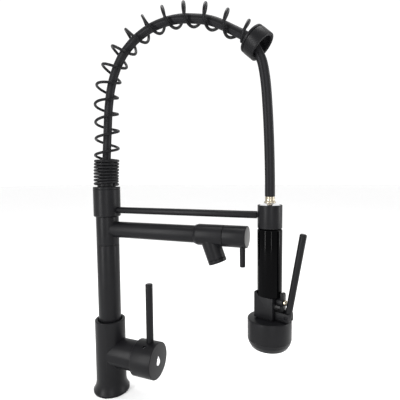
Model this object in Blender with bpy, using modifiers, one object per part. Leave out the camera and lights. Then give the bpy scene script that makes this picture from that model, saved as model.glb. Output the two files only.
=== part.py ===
"""Pull-down kitchen faucet: side-lever mixer body, swivelling pot-filler spout with its own valve,
spring arch that carries the hose, docking arm and a spray handle worked by a trigger lever.

Frame: +Z up, origin on the column's axis at deck level, both arms along +X.
Sizes below are in millimetres; MM turns them into Blender's metres.
"""

import math

import bmesh
import bpy
from mathutils import Matrix, Vector

MM = 0.001

# --- Driving dimensions: shared -----------------------------------------------------------------
CLEAR = 0.3  # gap between neighbouring pieces
ROUND = 24  # facets round a large turned piece that shows
INNER_ROUND = 14  # facets round a piece inside the faucet or under the deck
SMALL_ROUND = 12  # facets round a slim rod or pin

# --- Driving dimensions: deck, mixer body and column ---------------------------------------------
FLANGE_R = 24.3
FLARE_H = 17.0
BODY_R = 20.3
BODY_H = 100.0
COLUMN_R = 15.0
COLUMN_WALL = 1.8
COLUMN_TOP_Z = 203.0
RIM_GAP = 1.4  # dark ring round the column inside the body's rim
RECESS_DEPTH = 10.0
SOCKET_DEPTH = 20.0
SHANK_R = 15.8
SHANK_BORE_R = 11.5
SHANK_LENGTH = 46.0
SHANK_SEAT = 20.0  # how far the shank screws up into the body
DECK_THICKNESS = 30.0
WASHER_R = 26.0
INLET_R = 4.2
INLET_SPACING = 11.0

# --- Driving dimensions: side valve and its handle -----------------------------------------------
STUB_Z = 54.2
STUB_R = 19.4
STUB_END_X = 44.6
CARTRIDGE_R = 17.4
CARTRIDGE_BACK_X = 8.6
PIVOT_X = 36.0  # centre of the ball that the lever tilts about
DOME_WALL = 1.5
DOME_MOUTH_R = 14.0
STEM_R = 4.0
HUB_R = 23.5
HUB_START_X = 45.2
HUB_END_X = 74.9
LEVER_R = 4.8
LEVER_X = 63.0
LEVER_TOP_Z = 155.0

# --- Driving dimensions: swivel spout and its valve ----------------------------------------------
CORE_R = 11.5
CORE_BORE_R = 9.0
SPOUT_Z = COLUMN_TOP_Z + 21.0
SPOUT_R = 10.6
SPOUT_BORE_R = 8.6
SPOUT_END_X = 132.5
SPOUT_HUB_H = 37.8
VALVE_R = 12.75
VALVE_START_X = 130.5
VALVE_END_X = 166.6
KNOB_END_X = 193.9
NOZZLE_R = 11.05
NOZZLE_TILT = math.radians(20.5)
NOZZLE_DROP = 29.8  # from the valve's axis to the seam of the aerator
AERATOR_H = 4.4
VALVE_LEVER_R = 3.2
VALVE_LEVER_X = 188.3
VALVE_LEVER_END_Z = SPOUT_Z - 35.3

# --- Driving dimensions: collar, docking arm and holder ------------------------------------------
COLLAR_R = 17.8
COLLAR_H = 39.5
ARM_R = 4.2
ARM_UP = 8.6  # arm's axis above the collar's lower edge
REACH = 219.5
CUP_R = 13.5
CUP_WALL = 1.2
CUP_DOWN = 14.2  # cup below the arm's axis
CUP_UP = 11.5

# --- Driving dimensions: spring, hose and end ring -----------------------------------------------
SPRING_R = 14.85  # to the middle of the wire
WIRE_R = 1.8
CLOSE_TURNS = 8.4
CLOSE_LENGTH = 34.4
OPEN_TURNS = 13.5
PITCH_EASE = 0.12  # how much tighter the open turns are at their start than at their end
COIL_TAPER = 0.17  # share by which the coil narrows towards its upper end
SPRING_STEPS = 10  # straight pieces in one turn
HOSE_R = 5.5
RING_R = 16.8
RING_WALL = 2.4
RING_LENGTH = 17.5
RING_DIP = math.radians(43.0)  # the ring's axis below the horizontal
RING_X = 204.7
RING_UP = 157.0  # ring's centre above the collar's top

# --- Driving dimensions: spray handle, valve block, trigger and head -----------------------------
HANDLE_R = 13.7
HANDLE_WALL = 1.8
HANDLE_LENGTH = 75.0
LEVER_TURN = math.radians(-17.0)  # the trigger's direction about the handle's axis
BLOCK_BACK = -13.5
BLOCK_FRONT = 9.5
BLOCK_HALF_DEPTH = 11.4
BLOCK_H = 25.0
EAR_H = 5.0
BONNET_R = 5.0
CLIP_H = 10.6  # clip above the plunger's axis
HEAD_R = 24.6
HEAD_H = 33.2
TRIGGER_R = 3.75
TRIGGER_FOOT = 22.5  # trigger's axis from the handle's axis at its hinge
TRIGGER_TOP = 39.0  # and at its free end
TRIGGER_H = 92.0
HINGE_UP = 5.0  # trigger hinge above the block's underside

# --- Sizes that follow from the ones above -------------------------------------------------------
COLLAR_Z = COLUMN_TOP_Z + CLEAR + SPOUT_HUB_H + CLEAR
COLLAR_TOP_Z = COLLAR_Z + COLLAR_H
ARM_Z = COLLAR_Z + ARM_UP
CUP_BOTTOM_Z = ARM_Z - CUP_DOWN
CUP_TOP_Z = ARM_Z + CUP_UP
CUP_BORE_R = CUP_R - CUP_WALL
HANDLE_TOP_Z = CUP_BOTTOM_Z - CLEAR
HANDLE_BOTTOM_Z = HANDLE_TOP_Z - HANDLE_LENGTH
BLOCK_Z = HANDLE_BOTTOM_Z - BLOCK_H
HEAD_TOP_Z = BLOCK_Z - CLEAR
HEAD_Z = HEAD_TOP_Z - HEAD_H
HINGE_Z = BLOCK_Z + HINGE_UP
VALVE_Z = HANDLE_BOTTOM_Z - 5.5  # axis of the trigger's plunger
RING_Z = COLLAR_TOP_Z + RING_UP
FERRULE_Z = CUP_TOP_Z + 2.2
HOSE_END_Z = FERRULE_Z + 7.0
DOME_R = math.hypot(STUB_END_X + CLEAR - PIVOT_X, STUB_R)

# --- Colours: base colour, roughness, metallic ---------------------------------------------------
BLACK = ("satin_black", (0.030, 0.030, 0.032), 0.38, 0.6)
GLOSS = ("gloss_black", (0.012, 0.012, 0.013), 0.12, 0.3)
FACE = ("grey_face", (0.16, 0.16, 0.165), 0.42, 0.6)
CHROME = ("bright_chrome", (0.78, 0.78, 0.80), 0.12, 1.0)
BRASS = ("pale_brass", (0.62, 0.53, 0.38), 0.30, 1.0)
STEEL = ("brushed_steel", (0.55, 0.56, 0.58), 0.35, 1.0)
RUBBER = ("black_rubber", (0.02, 0.02, 0.02), 0.85, 0.0)
BRAID = ("black_braid", (0.018, 0.018, 0.020), 0.65, 0.1)
WHITE = ("white_plastic", (0.78, 0.78, 0.76), 0.45, 0.0)
GREY = ("grey_plastic", (0.22, 0.22, 0.23), 0.5, 0.0)

ALONG_X = Matrix.Rotation(math.radians(90.0), 4, "Y")
UPRIGHT = Matrix.Identity(4)


# --- Tools ---------------------------------------------------------------------------------------
def clear_scene():
    for obj in list(bpy.data.objects):
        bpy.data.objects.remove(obj, do_unlink=True)


def collection(name):
    made = bpy.data.collections.new(name)
    bpy.context.scene.collection.children.link(made)
    return made


def paint(colour):
    name, rgb, roughness, metallic = colour
    if name in bpy.data.materials:
        return bpy.data.materials[name]
    made = bpy.data.materials.new(name)
    made.use_nodes = True
    shader = made.node_tree.nodes["Principled BSDF"]
    shader.inputs["Base Color"].default_value = (*rgb, 1.0)
    shader.inputs["Roughness"].default_value = roughness
    shader.inputs["Metallic"].default_value = metallic
    return made


def add_object(name, data, colour, place=UPRIGHT, at=(0, 0, 0), cutter=False):
    """Puts mesh or curve data in the scene, at a place in millimetres."""
    obj = bpy.data.objects.new(name, data)
    (CUTTERS if cutter else PARTS).objects.link(obj)
    obj.matrix_world = Matrix.Translation(Vector(at) * MM) @ place
    if cutter:
        obj.hide_render = True
        obj.display_type = "WIRE"
    else:
        data.materials.append(paint(colour))
    return obj


def turned(name, profile, colour, place=UPRIGHT, at=(0, 0, 0), steps=ROUND, cutter=False):
    """A turned piece: (radius, height) points that run down the outer side.
    A profile that starts and ends on the axis is solid; any other is a closed loop, a ring."""
    mesh = bpy.data.meshes.new(name)
    points = [(r * MM, 0.0, z * MM) for r, z in profile]
    on_axis = profile[0][0] == 0 and profile[-1][0] == 0
    edges = [(i, i + 1) for i in range(len(points) - 1)]
    if not on_axis:
        edges.append((len(points) - 1, 0))
    mesh.from_pydata(points, edges, [])
    obj = add_object(name, mesh, colour, place, at, cutter)
    screw = obj.modifiers.new("Turn", "SCREW")
    screw.angle = math.radians(360.0)
    screw.steps = steps
    screw.render_steps = steps
    screw.use_merge_vertices = True
    screw.merge_threshold = 0.00001
    screw.use_smooth_shade = True
    return obj


def cylinder(name, radius, length, colour, place=UPRIGHT, at=(0, 0, 0), steps=SMALL_ROUND, cutter=False):
    """A plain cylinder whose foot is at the place, along the place's Z."""
    mesh = bpy.data.meshes.new(name)
    bm = bmesh.new()
    bmesh.ops.create_cone(
        bm, cap_ends=True, segments=steps, radius1=radius * MM, radius2=radius * MM, depth=length * MM
    )
    bmesh.ops.translate(bm, verts=bm.verts, vec=(0, 0, length * MM / 2))
    bm.to_mesh(mesh)
    bm.free()
    obj = add_object(name, mesh, colour, place, at, cutter)
    mesh.shade_smooth()
    mesh.set_sharp_from_angle(angle=math.radians(40))
    return obj


def box(name, low, high, colour, place=UPRIGHT, at=(0, 0, 0), cutter=False):
    mesh = bpy.data.meshes.new(name)
    bm = bmesh.new()
    bmesh.ops.create_cube(bm, size=1.0)
    size = [(b - a) * MM for a, b in zip(low, high)]
    middle = [(a + b) * MM / 2 for a, b in zip(low, high)]
    bmesh.ops.scale(bm, vec=size, verts=bm.verts)
    bmesh.ops.translate(bm, vec=middle, verts=bm.verts)
    bm.to_mesh(mesh)
    bm.free()
    return add_object(name, mesh, colour, place, at, cutter)


def boolean(obj, tool, operation):
    step = obj.modifiers.new(operation.title(), "BOOLEAN")
    step.operation = operation
    step.object = tool
    step.solver = "EXACT"


def cut(obj, tool):
    boolean(obj, tool, "DIFFERENCE")


def join(obj, tool):
    boolean(obj, tool, "UNION")


def pipe(name, route, radius, colour, sides=3):
    """A round tube solid along a list of points, as a poly curve with filled ends."""
    curve = bpy.data.curves.new(name, "CURVE")
    curve.dimensions = "3D"
    curve.bevel_depth = radius * MM
    curve.bevel_resolution = sides
    curve.use_fill_caps = True
    spline = curve.splines.new("POLY")
    spline.points.add(len(route) - 1)
    for point, where in zip(spline.points, route):
        point.co = (*(Vector(where) * MM), 1.0)
    spline.use_smooth = True
    return add_object(name, curve, colour)


def arc(centre_r, centre_z, radius, start, end, count=4):
    """Points of a profile along a circle, from one angle to another, in degrees."""
    angles = [math.radians(start + (end - start) * i / count) for i in range(count + 1)]
    return [(centre_r + radius * math.cos(a), centre_z + radius * math.sin(a)) for a in angles]


def ring_profile(outer, inner, low, high, chamfer=0.4):
    """A plain bush or washer with chamfered outer corners."""
    return [
        (inner, high),
        (outer - chamfer, high),
        (outer, high - chamfer),
        (outer, low + chamfer),
        (outer - chamfer, low),
        (inner, low),
    ]


def rod_profile(radius, low, high, chamfer=0.5):
    return [
        (0, high),
        (radius - chamfer, high),
        (radius, high - chamfer),
        (radius, low + chamfer),
        (radius - chamfer, low),
        (0, low),
    ]


def smooth_route(points, spacing):
    """Evenly spaced points along a smooth curve through the given ones (x and z; y is 0)."""
    ends = [points[0], *points, points[-1]]
    dense = []
    for a, b, c, d in zip(ends, ends[1:], ends[2:], ends[3:]):
        for i in range(24):
            t = i / 24
            dense.append(
                tuple(
                    0.5
                    * (
                        2 * q
                        + (r - p) * t
                        + (2 * p - 5 * q + 4 * r - s) * t**2
                        + (3 * q - p - 3 * r + s) * t**3
                    )
                    for p, q, r, s in zip(a, b, c, d)
                )
            )
    dense.append(points[-1])
    lengths = [0.0]
    for a, b in zip(dense, dense[1:]):
        lengths.append(lengths[-1] + math.dist(a, b))
    count = max(2, round(lengths[-1] / spacing))
    even = []
    j = 0
    for i in range(count + 1):
        s = lengths[-1] * i / count
        while j < len(dense) - 2 and lengths[j + 1] < s:
            j += 1
        share = (s - lengths[j]) / max(lengths[j + 1] - lengths[j], 1e-9)
        x = dense[j][0] + (dense[j + 1][0] - dense[j][0]) * share
        z = dense[j][1] + (dense[j + 1][1] - dense[j][1]) * share
        even.append((x, 0.0, z))
    return even


def curve_solid(name, outline, depth, colour, place, at, cutter=False):
    """A flat outline (x, y) given a thickness, half each way from its plane, as a closed mesh."""
    curve = bpy.data.curves.new(name, "CURVE")
    curve.dimensions = "2D"
    curve.fill_mode = "BOTH"
    curve.extrude = depth * MM / 2
    spline = curve.splines.new("POLY")
    spline.points.add(len(outline) - 1)
    for point, (x, y) in zip(spline.points, outline):
        point.co = (x * MM, y * MM, 0.0, 1.0)
    spline.use_cyclic_u = True
    flat = bpy.data.objects.new(name + "_outline", curve)
    PARTS.objects.link(flat)
    bpy.context.view_layer.update()
    mesh = bpy.data.meshes.new_from_object(flat.evaluated_get(bpy.context.evaluated_depsgraph_get()))
    bpy.data.objects.remove(flat, do_unlink=True)
    mesh.name = name
    bm = bmesh.new()
    bm.from_mesh(mesh)
    bmesh.ops.remove_doubles(bm, verts=bm.verts, dist=0.00001)
    bmesh.ops.recalc_face_normals(bm, faces=bm.faces)
    bm.to_mesh(mesh)
    bm.free()
    return add_object(name, mesh, colour, place, at, cutter)


# --- Mixer body, deck hardware and column --------------------------------------------------------
def mixer_body():
    rim_r = COLUMN_R + RIM_GAP
    round_r = 1.2
    groove = (SHANK_R + 2.5, FLANGE_R - 2.0)
    flare = [
        (BODY_R + (FLANGE_R - BODY_R) * (i / 6) ** 2.2, FLARE_H - (FLARE_H - 3.0) * i / 6) for i in range(7)
    ]
    profile = [
        (0, BODY_H - SOCKET_DEPTH),
        (COLUMN_R + CLEAR, BODY_H - SOCKET_DEPTH),
        (COLUMN_R + CLEAR, BODY_H - RECESS_DEPTH),
        (rim_r, BODY_H - RECESS_DEPTH),
        *arc(rim_r + round_r, BODY_H - round_r, round_r, 180, 90, 3),
        *arc(BODY_R - round_r, BODY_H - round_r, round_r, 90, 0, 3),
        *flare,
        *arc(FLANGE_R - 1.2, 1.2, 1.2, 0, -90, 3),
        (groove[1], 0),
        (groove[1], 1.5),
        (groove[0], 1.5),
        (groove[0], 0),
        (SHANK_R + CLEAR, 0),
        (SHANK_R + CLEAR, SHANK_SEAT + CLEAR),
        (0, SHANK_SEAT + CLEAR),
    ]
    body = turned("mixer_body", profile, BLACK)
    valve_at = (0, 0, STUB_Z)
    stub_profile = rod_profile(STUB_R, 4.0, STUB_END_X, 0.4)
    stub = turned("stub_tool", stub_profile, BLACK, ALONG_X, valve_at, ROUND + 4, True)
    join(body, stub)
    pocket_r = CARTRIDGE_R + CLEAR
    pocket_x = CARTRIDGE_BACK_X - CLEAR
    pocket_at = (pocket_x, 0, STUB_Z)
    cut(body, cylinder("pocket_tool", pocket_r, STUB_END_X, BLACK, ALONG_X, pocket_at, ROUND, True))
    feed_z = STUB_Z - 9.0
    for side in (-1, 1):
        y = side * INLET_SPACING / 2
        depth = feed_z + 3.0 - SHANK_SEAT
        foot = (0, y, SHANK_SEAT)
        bore = cylinder(f"inlet_tool_{side}", INLET_R + CLEAR, depth, BLACK, UPRIGHT, foot, cutter=True)
        cut(body, bore)
        feed_at = (0, y, feed_z)
        cut(body, cylinder(f"feed_tool_{side}", 2.2, pocket_x + 1.0, BLACK, ALONG_X, feed_at, 12, True))
    top_feed_z = STUB_Z + 8.0
    outlet_at = (0, 0, top_feed_z - 2.0)
    cut(body, cylinder("outlet_tool", 5.0, BODY_H - top_feed_z, BLACK, UPRIGHT, outlet_at, 16, True))
    feed_at = (0, 0, top_feed_z + 2.0)
    cut(body, cylinder("outlet_feed_tool", 3.0, pocket_x + 1.0, BLACK, ALONG_X, feed_at, 12, True))


def deck_hardware():
    turned("base_gasket", ring_profile(FLANGE_R - 2.3, SHANK_R + 2.8, 0.0, 1.2, 0.2), RUBBER)
    shank = ring_profile(SHANK_R, SHANK_BORE_R, -SHANK_LENGTH, SHANK_SEAT, 0.8)
    turned("threaded_shank", shank, BRASS, steps=INNER_ROUND)
    bore = SHANK_R + CLEAR
    under = -DECK_THICKNESS
    turned("rubber_washer", ring_profile(WASHER_R, bore, under - 3.0, under, 0.4), RUBBER, steps=INNER_ROUND)
    under -= 3.0 + CLEAR
    washer = ring_profile(WASHER_R - 1.0, bore, under - 1.5, under, 0.2)
    turned("steel_washer", washer, STEEL, steps=INNER_ROUND)
    under -= 1.5 + CLEAR
    nut = cylinder("fixing_nut", WASHER_R - 2.0, 8.0, BRASS, UPRIGHT, (0, 0, under - 8.0), steps=6)
    cut(nut, cylinder("nut_tool", bore + CLEAR, 12.0, BRASS, UPRIGHT, (0, 0, under - 10.0), ROUND, True))
    for name, side in (("hot_inlet", -1), ("cold_inlet", 1)):
        tail = ring_profile(INLET_R, INLET_R - 1.6, 6.0, STUB_Z - 12.0, 0.3)
        turned(name, tail, BRASS, at=(0, side * INLET_SPACING / 2, 0), steps=SMALL_ROUND)


def column():
    inner_r = COLUMN_R - COLUMN_WALL
    foot_z = BODY_H - SOCKET_DEPTH + CLEAR
    turned("column_tube", ring_profile(COLUMN_R, inner_r, foot_z, COLUMN_TOP_Z, 0.25), BLACK)
    top = COLLAR_TOP_Z - 2.0
    groove_r = CORE_R - 1.2
    profile = [(CORE_BORE_R, top), (CORE_R, top)]
    for middle, half in ((SPOUT_Z + 12.0, 1.1), (SPOUT_Z, 4.5), (SPOUT_Z - 12.0, 1.1)):
        profile += [
            (CORE_R, middle + half),
            (groove_r, middle + half),
            (groove_r, middle - half),
            (CORE_R, middle - half),
        ]
    foot = COLUMN_TOP_Z - 18.0
    profile += [
        (CORE_R, COLUMN_TOP_Z),
        (inner_r - CLEAR, COLUMN_TOP_Z),
        (inner_r - CLEAR, foot),
        (CORE_BORE_R, foot),
    ]
    core = turned("swivel_core", profile, BRASS, steps=INNER_ROUND)
    cut(core, cylinder("port_tool", 3.0, 4 * CORE_R, BRASS, ALONG_X, (-2 * CORE_R, 0, SPOUT_Z), 16, True))
    for name, middle in (("o_ring_upper", SPOUT_Z + 12.0), ("o_ring_lower", SPOUT_Z - 12.0)):
        section = 0.55
        seal = arc(groove_r + 0.1 + section, middle, section, 90, -270, 6)[:-1]
        turned(name, seal, RUBBER, steps=INNER_ROUND)
    fitting = ring_profile(CORE_BORE_R - CLEAR, 3.5, top - 16.0, top, 0.3)
    turned("hose_fitting", fitting, BRASS, steps=INNER_ROUND)


# --- Side valve and its handle -------------------------------------------------------------------
def side_valve():
    at = (0, 0, STUB_Z)
    shoulder = STUB_END_X - 4.6
    turret_r = 12.2
    pocket = [
        (0, 26.7),
        (turret_r + 2 * CLEAR, 26.7),
        (turret_r + 2 * CLEAR, shoulder),
        (CARTRIDGE_R, shoulder),
        (CARTRIDGE_R, CARTRIDGE_BACK_X),
        (0, CARTRIDGE_BACK_X),
    ]
    turned("cartridge_body", pocket, WHITE, ALONG_X, at, INNER_ROUND)
    nut = ring_profile(CARTRIDGE_R, turret_r + 0.8, shoulder + CLEAR, STUB_END_X - CLEAR, 0.3)
    turned("cartridge_nut", nut, BRASS, ALONG_X, at, INNER_ROUND)
    ball_r = 6.0
    turret = [
        (0, PIVOT_X - ball_r - 0.5),
        (ball_r + 0.5, PIVOT_X - ball_r - 0.5),
        (ball_r + 0.5, PIVOT_X + 1.0),
        (ball_r + 2.8, STUB_END_X - 1.0),
        (turret_r, STUB_END_X - 1.0),
        (turret_r, 27.0),
        (0, 27.0),
    ]
    turned("cartridge_turret", turret, GREY, ALONG_X, at, INNER_ROUND)
    base_x = STUB_END_X + CLEAR - PIVOT_X
    inner_r = DOME_R - DOME_WALL
    outer_base = math.degrees(math.asin(base_x / DOME_R))
    inner_base = math.degrees(math.asin(base_x / inner_r))
    dome = [
        *arc(0, PIVOT_X, DOME_R, math.degrees(math.acos(DOME_MOUTH_R / DOME_R)), outer_base, 4),
        *arc(0, PIVOT_X, inner_r, inner_base, math.degrees(math.acos(DOME_MOUTH_R / inner_r)), 4),
    ]
    turned("cartridge_dome", dome, CHROME, ALONG_X, at)
    neck = math.degrees(math.acos(STEM_R / ball_r))
    stem = [
        (0, LEVER_X + 3.2),
        (STEM_R, LEVER_X + 3.2),
        *arc(0, PIVOT_X, ball_r, neck, -90, 6)[:-1],
        (0, PIVOT_X - ball_r),
    ]
    turned("cartridge_stem", stem, BRASS, ALONG_X, at, SMALL_ROUND)


def drop_outline(radius, grow=0.0):
    """A water drop: a circle whose upper side runs out to a point."""
    tip = 2.1 * radius
    touch = math.degrees(math.acos(radius / tip))
    around = arc(0, 0, radius + grow, 90 + touch, 450 - touch, 16)
    return [*around, (0, tip + grow * tip / radius)]


def side_handle():
    at = (0, 0, STUB_Z)
    cavity_r = DOME_R + 0.9
    socket_r = STEM_R + CLEAR
    rim = math.degrees(math.asin((HUB_START_X - PIVOT_X) / cavity_r))
    cavity = arc(0, PIVOT_X, cavity_r, rim, math.degrees(math.acos(socket_r / cavity_r)), 8)
    profile = [
        (0, HUB_END_X),
        *arc(HUB_R - 0.8, HUB_END_X - 0.8, 0.8, 90, 0, 3),
        *arc(HUB_R - 0.8, HUB_START_X + 0.8, 0.8, 0, -90, 3),
        *cavity,
        (socket_r, LEVER_X + 3.6),
        (0, LEVER_X + 3.6),
    ]
    hub = turned("handle_hub", profile, BLACK, ALONG_X, at)
    foot = STUB_Z + 14.0
    cut(hub, cylinder("lever_tool", LEVER_R + CLEAR, HUB_R, BLACK, UPRIGHT, (LEVER_X, 0, foot), 24, True))
    lean = Matrix.Rotation(math.radians(27.0), 4, "X")
    screw_at = (LEVER_X - 2.7, 0, STUB_Z)
    hole = lean @ Matrix.Translation((0, 0, 2.0 * MM))
    cut(hub, cylinder("grub_tool", 1.9, HUB_R + 2.0, BLACK, hole, screw_at, 16, True))
    turned("handle_set_screw", rod_profile(1.6, 4.6, HUB_R - 2.0, 0.3), STEEL, lean, screw_at, 16)
    lever = [
        (0, LEVER_TOP_Z),
        *arc(LEVER_R - 1.2, LEVER_TOP_Z - 1.2, 1.2, 90, 0, 3),
        (LEVER_R, foot + CLEAR),
        (0, foot + CLEAR),
    ]
    turned("handle_lever", lever, BLACK, at=(LEVER_X, 0, 0), steps=24)
    facing = Matrix.Rotation(math.radians(90.0), 4, "Z") @ Matrix.Rotation(math.radians(90.0), 4, "X")
    badge_at = (HUB_END_X, 0, STUB_Z - 2.0)
    cut(hub, curve_solid("badge_tool", drop_outline(4.2, CLEAR), 1.2, CHROME, facing, badge_at, True))
    badge_at = (HUB_END_X - 0.1, 0, STUB_Z - 2.0)
    curve_solid("handle_badge", drop_outline(4.2), 0.4, CHROME, facing, badge_at)


# --- Pot-filler spout and its valve --------------------------------------------------------------
def spout():
    foot = COLUMN_TOP_Z + CLEAR
    hub = turned("spout_arm", rod_profile(COLUMN_R, foot, foot + SPOUT_HUB_H, 0.25), BLACK)
    at = (0, 0, SPOUT_Z)
    join(hub, cylinder("spout_tool", SPOUT_R, SPOUT_END_X, BLACK, ALONG_X, at, 24, True))
    cut(hub, cylinder("spout_bore_tool", SPOUT_BORE_R, SPOUT_END_X + 5.0, BLACK, ALONG_X, at, 24, True))
    below = (0, 0, foot - 1.0)
    cut(hub, cylinder("hub_bore_tool", CORE_R + CLEAR, SPOUT_HUB_H + 2.0, BLACK, UPRIGHT, below, ROUND, True))


def nozzle_place():
    """The outlet's axis: from the valve's axis, down and outward."""
    return Matrix.Rotation(math.pi - NOZZLE_TILT, 4, "Y"), (VALVE_START_X + 15.6, 0, SPOUT_Z)


def spout_valve():
    at = (0, 0, SPOUT_Z)
    profile = [
        (0, VALVE_END_X),
        (VALVE_R - 0.4, VALVE_END_X),
        (VALVE_R, VALVE_END_X - 0.4),
        (VALVE_R, VALVE_START_X + 3.7),
        (SPOUT_R + 1.0, VALVE_START_X),
        (0, VALVE_START_X),
    ]
    body = turned("spout_valve_body", profile, BLACK, ALONG_X, at, ROUND)
    lean, centre = nozzle_place()
    join(body, cylinder("nozzle_tool", NOZZLE_R, NOZZLE_DROP, BLACK, lean, centre, 20, True))
    seat = VALVE_START_X + 2.3
    head_x = VALVE_START_X + 19.5
    socket_at = (seat - 4.3, 0, SPOUT_Z)
    cut(body, cylinder("socket_tool", SPOUT_R + CLEAR, 4.3, BLACK, ALONG_X, socket_at, 24, True))
    cut(body, cylinder("water_tool", 8.0, 20.0, BLACK, ALONG_X, (seat - 1.0, 0, SPOUT_Z), 24, True))
    cut(body, cylinder("head_tool", 9.5, 30.0, BLACK, ALONG_X, (head_x, 0, SPOUT_Z), 24, True))
    cut(body, cylinder("nozzle_bore_tool", 8.2, NOZZLE_DROP + 4.0, BLACK, lean, centre, 20, True))
    headwork = [
        (0, head_x + 6.0),
        (3.6, head_x + 6.0),
        (3.6, VALVE_END_X - CLEAR),
        (9.2, VALVE_END_X - CLEAR),
        (9.2, head_x + CLEAR),
        (0, head_x + CLEAR),
    ]
    turned("valve_headwork", headwork, BRASS, ALONG_X, at, ROUND)
    drop = NOZZLE_DROP + CLEAR
    housing = ring_profile(NOZZLE_R, 8.9, drop, drop + AERATOR_H, 0.5)
    turned("aerator_housing", housing, BLACK, lean, centre, 20)
    insert = rod_profile(8.6, drop + 0.6, drop + AERATOR_H - 0.5, 0.3)
    turned("aerator_insert", insert, GREY, lean, centre, 24)
    knob_x = VALVE_END_X + CLEAR
    stem_end = knob_x + 13.0
    turned("valve_stem", rod_profile(3.3, head_x + 6.3, stem_end, 0.3), BRASS, ALONG_X, at, 16)
    cap_r = VALVE_R - 1.2
    knob = [
        (0, KNOB_END_X - 1.5),
        (cap_r + CLEAR, KNOB_END_X - 1.5),
        (cap_r + CLEAR, KNOB_END_X),
        (VALVE_R - 0.4, KNOB_END_X),
        (VALVE_R, KNOB_END_X - 0.4),
        (VALVE_R, knob_x + 0.4),
        (VALVE_R - 0.4, knob_x),
        (3.6, knob_x),
        (3.6, stem_end + CLEAR),
        (0, stem_end + CLEAR),
    ]
    grip = turned("valve_knob", knob, BLACK, ALONG_X, at, ROUND)
    turned("valve_knob_cap", rod_profile(cap_r, KNOB_END_X - 1.2, KNOB_END_X, 0.2), FACE, ALONG_X, at, ROUND)
    top = SPOUT_Z - 6.0
    down = Matrix.Rotation(math.pi, 4, "X")
    at_lever = (VALVE_LEVER_X, 0, top)
    cut(grip, cylinder("pin_tool", VALVE_LEVER_R + CLEAR, VALVE_R, BLACK, down, at_lever, SMALL_ROUND, True))
    length = top - VALVE_LEVER_END_Z
    turned("valve_lever", rod_profile(VALVE_LEVER_R, CLEAR, length, 0.6), BLACK, down, at_lever, SMALL_ROUND)


# --- Collar, docking arm and holder --------------------------------------------------------------
def docking_arm():
    groove_z = COLLAR_TOP_Z - 3.5
    inner = CORE_R + CLEAR
    profile = [
        (inner, COLLAR_TOP_Z),
        (COLLAR_R - 0.5, COLLAR_TOP_Z),
        (COLLAR_R, COLLAR_TOP_Z - 0.5),
        (COLLAR_R, groove_z + 0.4),
        (COLLAR_R - 0.4, groove_z),
        (COLLAR_R, groove_z - 0.4),
        (COLLAR_R, COLLAR_Z + 1.2),
        (COLLAR_R - 1.0, COLLAR_Z),
        (inner, COLLAR_Z),
    ]
    collar = turned("top_collar", profile, BLACK)
    socket_x = inner + 1.8
    at = (socket_x, 0, ARM_Z)
    cut(collar, cylinder("arm_tool", ARM_R + CLEAR, COLLAR_R, BLACK, ALONG_X, at, SMALL_ROUND, True))
    back = Matrix.Rotation(math.radians(-90.0), 4, "X")
    screw_at = (0, inner + 0.6, COLLAR_Z + COLLAR_H / 2)
    hole_at = (0, CORE_R - 1.0, screw_at[2])
    cut(collar, cylinder("collar_grub_tool", 2.3, COLLAR_R, BLACK, back, hole_at, 16, True))
    turned("collar_screw", rod_profile(2.0, 0, COLLAR_R - inner - 1.6, 0.3), STEEL, back, screw_at, 16)
    neck_x = REACH - CUP_R - 1.0
    spigot_r = ARM_R - 1.1
    arm = [
        (0, REACH - CUP_BORE_R - 0.45),
        (spigot_r, REACH - CUP_BORE_R - 0.45),
        (spigot_r, neck_x),
        (ARM_R - 0.4, neck_x),
        (ARM_R, neck_x - 0.4),
        (ARM_R, socket_x + CLEAR),
        (0, socket_x + CLEAR),
    ]
    turned("docking_rod", arm, BLACK, ALONG_X, (0, 0, ARM_Z), SMALL_ROUND)
    cup_profile = ring_profile(CUP_R, CUP_BORE_R, CUP_BOTTOM_Z, CUP_TOP_Z, 0.4)
    cup = turned("holder_cup", cup_profile, BLACK, at=(REACH, 0, 0))
    hole_at = (REACH - CUP_R - 3.0, 0, ARM_Z)
    cut(cup, cylinder("spigot_tool", spigot_r + CLEAR, 8.0, BLACK, ALONG_X, hole_at, 16, True))


# --- Spring, hose and end ring -------------------------------------------------------------------
def ring_point(along, across=0.0):
    """A point (x, z) by how far it lies along the end ring's axis, and how far above that axis."""
    x = RING_X + along * math.cos(RING_DIP) + across * math.sin(RING_DIP)
    z = RING_Z - along * math.sin(RING_DIP) + across * math.cos(RING_DIP)
    return (x, z)


def spring_route():
    """The spring's centre line: up from the collar, over the arch and down to the back of the end ring."""
    up = COLLAR_TOP_Z
    return [
        (0, up + WIRE_R + 2 * CLEAR),
        (0, up + 14),
        (2.2, up + 46),
        (3.6, up + 70),
        (3.2, up + 94),
        (3.6, up + 114),
        (8.0, up + 137),
        (18.5, up + 157.5),
        (34.5, up + 176.5),
        (55.3, up + 191),
        (78.9, up + 200),
        (103.8, up + 203),
        (126.7, up + 201),
        (150.6, up + 194),
        (174.0, up + 182),
        ring_point(-RING_LENGTH / 2 - 11.0),
        ring_point(-RING_LENGTH / 2 - WIRE_R - CLEAR),
    ]


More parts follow.
